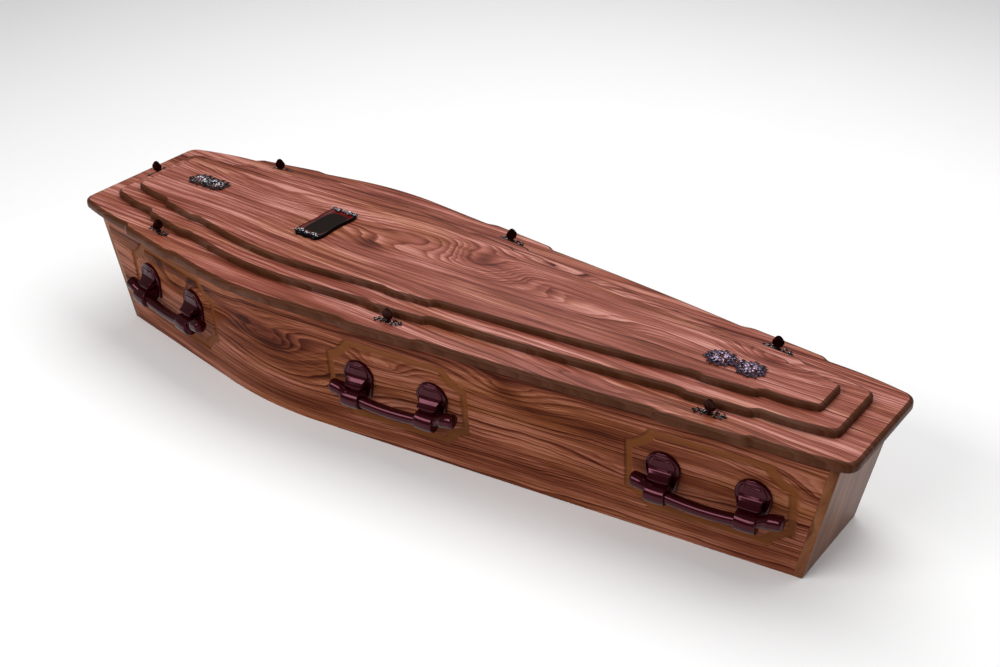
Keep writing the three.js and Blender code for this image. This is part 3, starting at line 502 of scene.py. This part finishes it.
def lid_board(name, node, inset, foot_inset, corner, bottom, top, profile):
    """A lid board as rings of its outline, stepped in along the edge profile, with a flat top and bottom.

    A height of the profile counts up from the bottom face, or down from the top face where it is negative."""
    rings = []
    for step_in, height in profile:
        edge = long_edge(inset + step_in, foot_inset + step_in, max(corner - step_in, 1))
        ring = np.concatenate([edge * (1, -1), edge[::-1]])
        z = np.full((len(ring), 1), bottom + height if height >= 0 else top + height)
        rings.append(np.hstack([ring, z]))
    rings[-1][:, 2] = top
    rings = np.array(rings)
    count, around = rings.shape[:2]
    number = np.arange(count * around).reshape(count, around)
    ahead = np.roll(number, -1, 1)
    sides = np.stack([number[:-1], ahead[:-1], ahead[1:], number[1:]], -1).reshape(-1, 4)
    half = around // 2
    i = np.arange(half - 1)
    strip = np.stack([i, i + 1, around - 2 - i, around - 1 - i], -1)
    faces = np.concatenate([sides, strip[:, ::-1], strip + (count - 1) * around]).tolist()
    board = mesh_object(name, rings.reshape(-1, 3), faces, lit_lid_foil)
    # Painted shade on the lid's edge: the rounded edge rings take the dark edge colour in full, the lowest
    # two rings in part, and the top two rings keep the flat's colour.
    bare_and_edge_shade = np.ones((count, around))
    bare_and_edge_shade[-2:] = 0
    bare_and_edge_shade[:2] = LOW_ROUND_EDGE_SHADE
    store(board, "routed_and_edge_shade", bare_and_edge_shade)
    show_as(board, node)


def round_over(radius, foot_radius):
    """Edge profile from the bottom face up: a small round, an upright, a large round and a fine quirk."""
    turn = np.linspace(0, math.pi / 2, 6)
    low = [(foot_radius * (1 - math.sin(a)), foot_radius * (1 - math.cos(a))) for a in turn]
    high = [(radius * (1 - math.cos(a)), -radius - QUIRK + radius * math.sin(a)) for a in turn]
    return low + high + [(radius + 0.3, -0.3), (radius + 0.7, -1e-6)]


LID_KNOTS = ((-0.217, -0.028, 0.16, 0.055, 1.2), (-0.02, 0.0, 0.16, 0.05, 0.0),
             (0.25, -0.01, 0.2, 0.045, 0.0), (0.045, 0.058, 0.10, 0.05, 0.9),
             (0.747, 0.047, 0.09, 0.04, 0.9), (0.42, 0.085, 0.16, 0.03, 0.5), (-0.62, 0.03, 0.3, 0.05, 0.0),
             (0.2, 0.125, 0.12, 0.03, 0.6), (0.5, -0.19, 0.2, 0.03, 0.3))
# The lid takes a lighter, pinker copy of the long boards' foil, painted as the light and sheen on its top.
# Its rounded edges take a dark brown as painted shade.
lit_lid_foil = foil("walnut foil on the lid", X, Y, None, ("300c06", "581e12", "7c3e30", "9a584a", "c2867c"),
                LID_KNOTS, routed_and_edge_shade="3c2210", fine=1.15, shine=0.18)
lid_board("lid_board_foiled", "lid_board", inset=0, foot_inset=0, corner=30,
          bottom=BODY_HEIGHT, top=LID_TOP_Z, profile=round_over(radius=8, foot_radius=4))
lid_board("lower_tier_foiled", "lid_lower_tier", inset=65, foot_inset=60, corner=20,
          bottom=LID_TOP_Z, top=LOWER_TIER_TOP_Z, profile=round_over(radius=7, foot_radius=1.5))
lid_board("upper_tier_foiled", "lid_upper_tier", inset=108, foot_inset=113, corner=12,
          bottom=LOWER_TIER_TOP_Z, top=UPPER_TIER_TOP_Z, profile=round_over(radius=6, foot_radius=1.5))

# The handles: a round bar with flared tips, held by the collars of two lugs with a beaded strap each.
# Injection-moulded plastic in a near-black maroon, glossy, fixed through the panel from inside.

BAR_STAND_OFF, BAR_RADIUS, BAR_TIP_RADIUS = 32, 12.5, 16
BAR_AT_LUG, BAR_SAG, BAR_TIP_RISE, BAR_REACH, LUG_HALF_SPACING = -24, 8, 20, 156, 92
BAR_FLARE_START, BAR_FLARE_LENGTH, BAR_CAP, BAR_SLIP_TO_FOOT = 112, 16, 10, 9
PLATE_HALF_WIDTH, PLATE_FOOT_HALF_WIDTH, PLATE_TOP, PLATE_BOTTOM = 37, 29, 54, -30
PLATE_EDGE = ((0, 0.3), (0, 4.5), (0.4, 6.2), (1.4, 7.4), (2.8, 8.0), (4.5, 8.2))
LUG_TOP, COLLAR_RADIUS, COLLAR_HALF_WIDTH, STRAP_ARCH_START = 49, 21, 21.5, 26
STRAP_FACE = ((-3, 30), (1.5, 31), (3, 32.6), (4.5, 33.6), (6.5, 33), (9, 29), (13, 23.5), (18, 17.5),
              (24, 13), (32, 10.8), (43, 9.8), (46, 8.6), (49, 6))
STRAP_HALF_WIDTH = ((-45, COLLAR_HALF_WIDTH), (-4.2, COLLAR_HALF_WIDTH), (-3.1, 17), (1, 17), (2.6, 22.5),
                    (7, 22.5), (12, 21.3), (26, 29.5))
STRAP_BACK = ((-38.8, 17.2), (-24, 1.0))
STRAP_BEADS, BEAD_WIDTH = ((1.8, 1.5), (9, 1.1)), 1.1


def side_place(side, x):
    """Frame on a long board's outer face: columns along it, up it and out of it, and its origin."""
    slope = HEAD_SLOPE if x < SHOULDER_X else FOOT_SLOPE
    out = np.array([-slope, side, -SIDE_LEAN])
    out /= np.linalg.norm(out)
    along = np.array([-side, -slope, 0.0])
    along /= np.linalg.norm(along)
    up = np.cross(out, along)
    half = SHOULDER_HALF_WIDTH + slope * (x - SHOULDER_X)
    origin = np.array([x, side * (half + SIDE_LEAN * PANEL_Z), PANEL_Z])
    return np.array([along, up, out]), origin


def skin(rings, offset=0):
    """Faces of a closed skin through equal rings of points, with a flat face on the first and the last."""
    count, around = rings.shape[:2]
    number = np.arange(count * around).reshape(count, around) + offset
    ahead = np.roll(number, -1, 1)
    sides = np.stack([number[:-1], ahead[:-1], ahead[1:], number[1:]], -1).reshape(-1, 4)
    return sides.tolist() + [number[0, ::-1].tolist(), number[-1].tolist()]


def gather(shells):
    """Joins several ring skins into one list of points and one list of faces."""
    points, faces, offset = [], [], 0
    for rings in shells:
        faces += skin(rings, offset)
        points.append(rings.reshape(-1, 3))
        offset += rings.shape[0] * rings.shape[1]
    return np.concatenate(points), faces


def smooth(t):
    """Eases from 0 to 1 with level ends."""
    t = np.clip(t, 0, 1)
    return t * t * (3 - 2 * t)


def bar_shell():
    """The bar: round sections along a line that sags between the lugs and rises at its two blunt tips."""
    cap_start = BAR_REACH - BAR_CAP
    body = np.linspace(-cap_start, cap_start, 121)
    cap = cap_start + BAR_CAP * np.sin(np.linspace(0, math.pi / 2, 11))[1:]
    u = np.concatenate([-cap[::-1], body, cap])
    away = np.abs(u)
    radius = BAR_RADIUS + (BAR_TIP_RADIUS - BAR_RADIUS) * smooth((away - BAR_FLARE_START) / BAR_FLARE_LENGTH)
    tip = np.clip((away - cap_start) / BAR_CAP, 0, 1)
    radius = radius * np.maximum(1 - tip ** 2.6, 1e-4) ** 0.42
    beyond = np.maximum(0, away - LUG_HALF_SPACING) / (BAR_REACH - LUG_HALF_SPACING)
    within = np.minimum(1, away / LUG_HALF_SPACING)
    height = BAR_AT_LUG - BAR_SAG * (1 - within ** 2) + BAR_TIP_RISE * (1 - (1 - beyond) ** 2)
    turn = np.linspace(0, 2 * math.pi, 33)[:-1]
    v = height[:, None] + radius[:, None] * np.cos(turn)
    w = BAR_STAND_OFF + radius[:, None] * np.sin(turn)
    return np.stack([u[:, None] + 0 * v, v, w], -1)


def plate_shell():
    """The lug's back plate: an arched tombstone outline stepped in over a rounded front edge."""
    arch = PLATE_TOP - PLATE_HALF_WIDTH
    turn = np.linspace(0, math.pi, 41)
    rings = []
    for step, height in PLATE_EDGE:
        radius = PLATE_HALF_WIDTH - step
        top = np.stack([radius * np.cos(turn), arch + radius * np.sin(turn)], -1)
        half, low = PLATE_FOOT_HALF_WIDTH - step, PLATE_BOTTOM + step
        foot = [(-half, low), (half, low)]
        outline = np.concatenate([top, foot])
        rings.append(np.hstack([outline, np.full((len(outline), 1), height)]))
    return np.array(rings)


def strap_shell():
    """The lug's strap: a face that flares out from its arched top to a ridge, over a collar round the bar.

    Each cross-section at height v has the face's stand-off in front, and the plate or the collar's back
    behind. Two raised beads follow the arch at 1.8 mm and 9 mm from its edge."""
    turn = np.linspace(-math.pi / 2, math.pi / 2, 45)
    collar_v = BAR_AT_LUG + COLLAR_RADIUS * np.sin(turn)
    collar_w = BAR_STAND_OFF + COLLAR_RADIUS * np.cos(turn)
    above = np.linspace(BAR_AT_LUG + COLLAR_RADIUS + 0.2, LUG_TOP, 90)
    v = np.concatenate([collar_v, above])
    face = np.concatenate([collar_w, np.interp(above, *np.array(STRAP_FACE).T)])
    half = np.interp(v, *np.array(STRAP_HALF_WIDTH).T)
    top = np.clip((v - STRAP_ARCH_START) / (LUG_TOP + 0.6 - STRAP_ARCH_START), 0, 1)
    half = half * np.sqrt(1 - top ** 2.3)
    round_back = BAR_STAND_OFF - np.sqrt(np.maximum(COLLAR_RADIUS ** 2 - (v - BAR_AT_LUG) ** 2, 0.01))
    slope_back = np.interp(v, *np.array(STRAP_BACK).T)
    back = np.where(v < STRAP_BACK[0][0], round_back, slope_back)
    share = np.sin(np.linspace(-math.pi / 2, math.pi / 2, 41))
    u = half[:, None] * share
    edge = half[:, None] - np.abs(u)
    crown = -1.5 * share ** 2 - 2.0 * np.clip(1 - edge / 1.6, 0, 1) ** 2
    on_face = smooth((v - 20) / 8)[:, None]
    arch = np.minimum(edge, (LUG_TOP - v)[:, None] * 0.95 + 0 * u)
    bead = sum(height * np.exp(-((arch - place) / BEAD_WIDTH) ** 2) for place, height in STRAP_BEADS)
    front = np.maximum(face[:, None] + crown + bead * on_face, back[:, None] + 0.2)
    fronts = np.stack([u, v[:, None] + 0 * u, front], -1)
    backs = np.stack([u[:, ::-1], v[:, None] + 0 * u, back[:, None] + 0 * u], -1)
    return np.concatenate([fronts, backs[:, 1:-1]], 1)


def moulded_plastic(name, colour, tint, rough):
    """Glossy moulded plastic, whose gloss takes the pigment's tint, with faint flow marks in it."""
    material, tree, shader = new_material(name)
    place = add(tree, "TexCoord").outputs["Object"]
    cloud = add(tree, "TexNoise", {"Vector": place, "Scale": 60.0, "Detail": 2.0})
    gloss = remap(tree, cloud.outputs[0], to_low=rough * 0.8, to_high=rough * 1.3)
    set_shader(tree, shader, Base_Color=srgb(colour), Roughness=gloss, Specular_IOR_Level=0.42,
               Specular_Tint=srgb(tint))
    return material


maroon = moulded_plastic("glossy maroon plastic", "240204", "ffa0b8", 0.11)
for side_name, side in (("near", -1), ("far", 1)):
    for place_name, x in zip(("head", "middle", "foot"), PANEL_CENTRES_X):
        axes, origin = side_place(side, x)
        spot = f"{side_name}_{place_name}"
        points, faces = gather([bar_shell() + (-side * BAR_SLIP_TO_FOOT, 0, 0)])
        thing = mesh_object(f"{spot}_bar", points @ axes + origin, faces, maroon)
        show_as(thing, f"handle_bar_{spot}")
        for count, end in ((1, side), (2, -side)):
            points, faces = gather([plate_shell(), strap_shell()])
            points = (points + (end * LUG_HALF_SPACING, 0, 0)) @ axes + origin
            thing = mesh_object(f"{spot}_lug_{count}", points, faces, maroon)
            show_as(thing, f"lug_{spot}_{count}")

# The lid screws: flat palmette thumb-pieces on short stems, over openwork escutcheons of scrolls.
# The thumb-pieces are near-black maroon plastic on steel screws, and the escutcheons are thin
# antique-silver castings that each screw passes through and holds down on the lid.

SCREW_FROM_EDGE, HEAD_END_SCREW_Y = 44.5, 20
HEAD_EDGE_TURN, FOOT_EDGE_TURN = math.atan(LID_HEAD_SLOPE), math.atan(LID_FOOT_SLOPE)
THUMB_RADIUS, THUMB_CROWN, THUMB_FOOT, THUMB_LOBE = 12.2, 5.6, -3.4, 0.9
THUMB_HALF_THICKNESS, THUMB_CENTRE_Z = 2.5, 14
STEM_HEIGHTS, STEM_RADII = (0.2, 2.5, 3, 4, 6, 8, 9), (4.2, 4.2, 3.2, 2.8, 3.4, 3.0, 1.0)


def tube(path, radius, around=8):
    """A round tube along a path of points, with its sections square to the path and its ends closed."""
    path = np.asarray(path, float)
    ahead = np.gradient(path, axis=0)
    ahead /= np.linalg.norm(ahead, axis=1)[:, None]
    side = np.cross(ahead, (0, 0, 1.0))
    side /= np.maximum(np.linalg.norm(side, axis=1)[:, None], 1e-6)
    above = np.cross(side, ahead)
    turn = np.linspace(0, 2 * math.pi, around + 1)[:-1]
    radius = np.broadcast_to(radius, len(path))[:, None, None]
    ring = side[:, None] * np.cos(turn)[:, None] + above[:, None] * np.sin(turn)[:, None]
    return path[:, None] + radius * ring


def leaf(length, width, height, arch=0.0, rows=13, around=12, keel=0.35):
    """A pointed leaf along +X: its width swells and closes as a sine, on an arched line with a sunk rib."""
    t = np.linspace(0.02, 0.98, rows)
    spread = np.sin(math.pi * t ** 0.85) ** 0.8
    turn = np.linspace(0, 2 * math.pi, around + 1)[:-1]
    y = width / 2 * spread[:, None] * np.cos(turn)
    rib = 1 - keel * np.exp(-(np.cos(turn) / 0.3) ** 2)
    z = height / 2 * spread[:, None] * np.sin(turn) * np.where(np.sin(turn) > 0, rib, 1)
    z = z + (arch * np.sin(math.pi * t))[:, None]
    x = (length * t)[:, None] + 0 * y
    return np.stack([x, y, z], -1)


def turned(shell, angle, shift=(0, 0, 0)):
    """Turns a shell about Z and shifts it."""
    c, s = math.cos(angle), math.sin(angle)
    return shell @ np.array([[c, s, 0], [-s, c, 0], [0, 0, 1]]) + np.array(shift)


def thumb_shells():
    """A thumb-piece on a turned stem. Its outline is a circle drawn out above and in below by the square of
    the height, with five lobes on its upper part; both faces are domed as a sine and follow the lobes."""
    turn = np.linspace(0, 2 * math.pi, 73)[:-1]
    up = np.cos(turn)
    lobes = np.cos(5 * turn) * smooth(up + 0.9)
    outline = THUMB_RADIUS + np.where(up > 0, THUMB_CROWN, THUMB_FOOT) * up ** 2 + THUMB_LOBE * lobes
    around = np.linspace(0.03, math.pi - 0.03, 17)[:, None]
    out = np.sin(around) * outline
    thick = THUMB_HALF_THICKNESS * np.cos(around) * (1 + 0.3 * lobes * np.sin(around) ** 2)
    head = np.stack([out * np.sin(turn) * 0.96, thick, THUMB_CENTRE_Z + out * up], -1)
    z, radius = np.array(STEM_HEIGHTS)[:, None], np.array(STEM_RADII)[:, None]
    turn = np.linspace(0, 2 * math.pi, 17)[:-1]
    stem = np.stack([radius * np.cos(turn), radius * np.sin(turn), z + 0 * turn], -1)
    return [head, stem]


def spiral(centre, size, shrink, start, turns, height, rise=0.0):
    """A path round a centre whose radius shrinks evenly by a share as it turns, and which may rise evenly."""
    t = np.linspace(0, 1, 26)
    radius = size * (1 - shrink * t)
    angle = start + turns * 2 * math.pi * t
    x, y = centre[0] + radius * np.cos(angle), centre[1] + radius * np.sin(angle)
    return np.stack([x, y, height + rise * t], -1)


def escutcheon_shells():
    """A ring for the stem, and each way from it two pairs of scrolls on a thin spine that ends in a leaf."""
    ring_turn = np.linspace(0, 2 * math.pi, 25)
    ring = np.stack([6 * np.cos(ring_turn), 6 * np.sin(ring_turn), 1.4 + 0 * ring_turn], -1)
    shells = [tube(ring[:-1], 1.2)]
    for way in (1, -1):
        for up in (1, -1):
            inner = spiral((way * 13, up * 5.4), 5.0, 0.85, 0.0, way * up * 0.9, 1.7)
            outer = spiral((way * 25, up * 4.8), 4.6, 0.85, 1.6 * way, -way * up * 0.9, 1.7)
            shells += [tube(inner, 1.4), tube(outer, 1.4)]
        spine = np.stack([way * np.linspace(7, 30, 9), np.zeros(9), np.full(9, 1.3)], -1)
        shells.append(tube(spine, 0.9))
        shells.append(turned(leaf(9, 6, 3), 0 if way > 0 else math.pi, (way * 27, 0, 1.4)))
    return shells


def antique_silver(name, dark, light):
    """Antiqued plating: black patina in what lies low, and what stands highest painted near-white as painted
    highlights for glints.
    """
    material, tree, shader = new_material(name)
    place = add(tree, "TexCoord").outputs["Object"]
    patina = add(tree, "TexNoise", {"Vector": place, "Scale": 260.0, "Detail": 2.0})
    level = add(tree, "Attribute", attribute_name="relief").outputs["Fac"]
    mixed = add(tree, "Math", {0: level, 1: patina.outputs[0]}, operation="MULTIPLY").outputs[0]
    # Painted highlights: the colour runs from black patina up to near-white on the highest, noise-broken
    # points, standing for glints.
    colour = colour_ramp(tree, mixed, ((0.36, dark), (0.62, light)))
    set_shader(tree, shader, Base_Color=colour, Metallic=0.8, Roughness=0.25)
    return material


def add_relief(thing, low, high):
    """Stores how high each point of a casting stands between two heights, for its patina and its painted
    highlights.
    """
    heights = np.empty(len(thing.data.vertices) * 3)
    thing.data.vertices.foreach_get("co", heights)
    store(thing, "relief", np.clip((heights.reshape(-1, 3)[:, 2] / MM - low) / (high - low), 0, 1))


dark_maroon = moulded_plastic("near-black maroon plastic", "160203", "c08070", 0.2)
# Its near-white tops are painted highlights for the glints on the escutcheons and the nameplate's scrolls,
# and the black in their hollows is patina.
dark_silver = antique_silver("black antique silver plate", "060405", "d4d0d8")
head_line, foot_line, shoulder_x = lid_lines(0)
for name, x, side, edge_turn, screw_turn in (
        ("near_head", SCREW_X[0], -1, -HEAD_EDGE_TURN, 1.2),
        ("near_middle", SCREW_X[1], -1, FOOT_EDGE_TURN, 0.3),
        ("near_foot", SCREW_X[2], -1, FOOT_EDGE_TURN, 0.1),
        ("far_head", SCREW_X[0], 1, HEAD_EDGE_TURN, 0.5),
        ("far_middle", SCREW_X[1], 1, -FOOT_EDGE_TURN, 0.8),
        ("far_foot", SCREW_X[2], 1, -FOOT_EDGE_TURN, 0.4),
        ("head_end", -LID_HALF_LENGTH + SCREW_FROM_EDGE, 0, math.pi / 2, 0.5)):
    edge = head_line(x) if x < shoulder_x else foot_line(x)
    y = side * (edge + PAD_PROUD - SCREW_FROM_EDGE) if side else HEAD_END_SCREW_Y
    place = (x, y, LID_TOP_Z)
    points, faces = gather(escutcheon_shells())
    thing = mesh_object(f"{name}_escutcheon", turned(points, edge_turn, place), faces, dark_silver)
    add_relief(thing, LID_TOP_Z, LID_TOP_Z + 4)
    show_as(thing, f"escutcheon_{name}")
    points, faces = gather(thumb_shells())
    thing = mesh_object(f"{name}_thumb_screw", turned(points, screw_turn, place), faces, dark_maroon)
    show_as(thing, f"lid_screw_{name}")

# The nameplate: a raised rim with scrolled ends round a sunk, near-black field, left blank.
# One plastic moulding in maroon; the scrolls at its ends are touched with silver. It is pinned to the lid.

NAMEPLATE_PLACE = (-357, -8, UPPER_TIER_TOP_Z)
NAMEPLATE_HALF_LENGTH, NAMEPLATE_HALF_WIDTH, NAMEPLATE_RIM, NAMEPLATE_END_BAND = 74.5, 40.4, 9, 22
NAMEPLATE_WAIST, NAMEPLATE_SCALLOP, NAMEPLATE_FIELD_SHARE, NAMEPLATE_FIELD_STEP = 6, 4, 1.06, 12
NAMEPLATE_PROFILE = ((0, 0.3, 0), (0, 5.2, 0), (0.05, 7.0, 0.05), (0.16, 8.4, 0.16), (0.3, 8.9, 0.3),
                     (0.42, 8.4, 0.42), (0.5, 7.4, 0.5), (0.56, 7.6, 0.56), (0.64, 7.3, 0.62),
                     (1.1, 5.2, 0.9), (1.3, 4.8, 1), (1.36, 4.7, 1), (1.8, 4.7, 1), (2.8, 4.7, 1))


def nameplate_shell():
    """The plate's nested outlines, from the lid up over the rim and down to the field, and their places on
    the finish's ramp.

    Each outline is a rounded rectangle, drawn in at its waist, with three scallops on each end. A step of the
    profile is a share of the rim's width, a height and a place on the ramp."""
    turn = np.linspace(0, 2 * math.pi, 121)[:-1]
    c, s = np.cos(turn), np.sin(turn)
    square = np.abs(np.stack([c, s])) ** 0.38 * np.sign(np.stack([c, s]))
    rings, tones = [], []
    for share, height, tone in NAMEPLATE_PROFILE:
        on_rim = min(share, NAMEPLATE_FIELD_SHARE)
        in_field = NAMEPLATE_FIELD_STEP * max(share - NAMEPLATE_FIELD_SHARE, 0)
        p = (NAMEPLATE_HALF_LENGTH - NAMEPLATE_END_BAND * on_rim - in_field) * square[0]
        q = (NAMEPLATE_HALF_WIDTH - NAMEPLATE_RIM * on_rim - in_field) * square[1]
        outer = max(0.0, 1 - share)
        pinch = NAMEPLATE_WAIST * outer * np.cos(math.pi / 2 * np.clip(square[0], -1, 1)) ** 2
        wave = 1 - np.abs(np.cos(1.5 * math.pi * square[1]))
        scallop = NAMEPLATE_SCALLOP * outer * wave * (np.abs(c) > 0.5)
        q = q - np.sign(q) * pinch * np.abs(square[1])
        p = p - np.sign(p) * scallop
        rings.append(np.stack([-q, p, height + 0 * p], -1))
        tones.append(np.full(len(turn), tone))
    return np.array(rings), np.array(tones)


def nameplate_scrolls():
    """Scrollwork on both end bands: a fan of leaves, with a pair of volutes and leaves on each side of it."""
    shells = []
    for end in (1, -1):
        for side in (1, -1):
            way = side * end
            large = spiral((side * 17, end * 62), 7.5, 0.8, math.pi / 2, way * 1.5, 8.6, 1.2)
            small = spiral((side * 32, end * 66), 5.0, 0.8, math.pi / 2, -way * 1.5, 8.2, 1.2)
            shells += [tube(large, np.linspace(2.0, 1.0, 26)), tube(small, np.linspace(1.7, 0.9, 26))]
            for reach, bend in ((12, 0.5), (10, 1.15)):
                shells.append(turned(leaf(reach, 5.5, 3.5, 1.0), end * math.pi / 2 - way * bend,
                                     (side * 25, end * 58, 8.0)))
        for bend in (-0.9, -0.45, 0, 0.45, 0.9):
            shells.append(turned(leaf(12, 4.6, 3.5, 1.2), end * math.pi / 2 + bend, (0, end * 59, 8.2)))
    return shells


def plate_finish():
    """Maroon slopes between a black border and a near-black field, told apart by how far in they lie."""
    material, tree, shader = new_material("maroon nameplate with a black border and field")
    inset = add(tree, "Attribute", attribute_name="inset").outputs["Fac"]
    place = add(tree, "TexCoord").outputs["Object"]
    cloud = add(tree, "TexNoise", {"Vector": place, "Scale": 90.0, "Detail": 2.0}).outputs[0]
    colour = colour_ramp(tree, inset, ((0.0, "050203"), (0.4, "050203"), (0.5, "621012"), (0.93, "480a0b"),
                                       (0.98, "140b06")))
    gloss = remap(tree, cloud, to_low=0.2, to_high=0.3)
    set_shader(tree, shader, Base_Color=colour, Roughness=gloss, Specular_IOR_Level=0.08)
    return material


plate_rings, plate_tones = nameplate_shell()
points, faces = gather([plate_rings])
thing = mesh_object("engraving_plate", points + NAMEPLATE_PLACE, faces, plate_finish())
store(thing, "inset", plate_tones)
show_as(thing, "nameplate")
# The scrolls' highest points are painted near-white as painted highlights, over black patina lower down.
points, faces = gather(nameplate_scrolls())
thing = mesh_object("engraving_plate_scrolls", points + NAMEPLATE_PLACE, faces, dark_silver)
add_relief(thing, UPPER_TIER_TOP_Z + 6, UPPER_TIER_TOP_Z + 11)
show_as(thing, "nameplate")

# The sprays: two low castings of leaves and open flowers, the head one darker and closer than the foot one,
# which parts into two lobes. Thin plated castings with a blackened finish, pinned to the lid.

HEAD_SPRAY, FOOT_SPRAY = (-749, 0), (695, -8)
GOLDEN_ANGLE = 2.39996
SPRAY_RIM_Z, SPRAY_RISE, FLOWER_Z = 1.8, 5.2, 6.2


def flower(size):
    """An open flower: six broad cupped petals under five smaller ones, round a bead."""
    shells = []
    for count, reach, height, phase in ((6, 1.0, 0.0, 0.0), (5, 0.62, 0.16, 0.4)):
        for k in range(count):
            petal = leaf(size * reach, size * reach * 0.85, size * 0.24, size * 0.16, 9, 10, 0.5)
            shells.append(turned(petal, phase + 2 * math.pi * k / count, (0, 0, size * height)))
    rise = np.linspace(0.05, math.pi - 0.05, 7)[:, None]
    turn = np.linspace(0, 2 * math.pi, 11)[:-1]
    ball = np.stack([np.sin(rise) * np.cos(turn), np.sin(rise) * np.sin(turn), np.cos(rise) + 0 * turn], -1)
    shells.append(size * 0.2 * ball + (0, 0, size * 0.3))
    return shells


def spray(lobes, flowers):
    """Leaves in each lobe are set out by the golden angle, pointing outward, low at the rim and high inside.

    A lobe is its centre, its reach both ways, its count of leaves and their length; a flower its centre and
    size."""
    shells = []
    for x, y, reach_x, reach_y, count, length in lobes:
        for k in range(count):
            out = math.sqrt((k + 0.5) / count)
            angle = GOLDEN_ANGLE * k
            outward = math.atan2(reach_y * math.sin(angle), reach_x * math.cos(angle))
            lean = 0.55 * math.sin(7.3 * k) + outward
            size = length * (0.8 + 0.25 * math.sin(5.1 * k + 1))
            place = (x + reach_x * out * math.cos(angle), y + reach_y * out * math.sin(angle),
                     SPRAY_RIM_Z + SPRAY_RISE * (1 - out))
            shells.append(turned(leaf(size, size * 0.42, 2.6, 1.6, 11, 10, 0.6), lean, place))
    for x, y, size in flowers:
        shells += [shell + (x, y, FLOWER_Z) for shell in flower(size)]
    return shells


# The sprays' highest leaves and petals are painted pale as painted highlights, and their low parts are the
# dark patina.
violet_silver = antique_silver("violet-grey antique plate", "2c2030", "ac98b0")
HEAD_LOBES = ((-24, 0, 30, 21, 64, 14), (22, 0, 31, 20, 66, 14))
HEAD_FLOWERS = ((-30, 4, 8), (-6, -6, 8), (14, 6, 8), (34, -3, 7))
FOOT_LOBES = ((-33, 2, 26, 21, 84, 13), (33, -2, 25, 20, 80, 13), (0, 6, 14, 10, 18, 11))
FOOT_FLOWERS = ((-38, -6, 8), (-24, 10, 8), (30, -8, 8), (40, 6, 7))
for name, place, lobes, flowers, finish in (
        ("head_spray", HEAD_SPRAY, HEAD_LOBES, HEAD_FLOWERS, dark_silver),
        ("foot_spray", FOOT_SPRAY, FOOT_LOBES, FOOT_FLOWERS, violet_silver)):
    points, faces = gather(spray(lobes, flowers))
    thing = mesh_object(f"{name}_casting", points + (*place, UPPER_TIER_TOP_Z), faces, finish)
    add_relief(thing, UPPER_TIER_TOP_Z + 1, UPPER_TIER_TOP_Z + 8)
    show_as(thing, name)
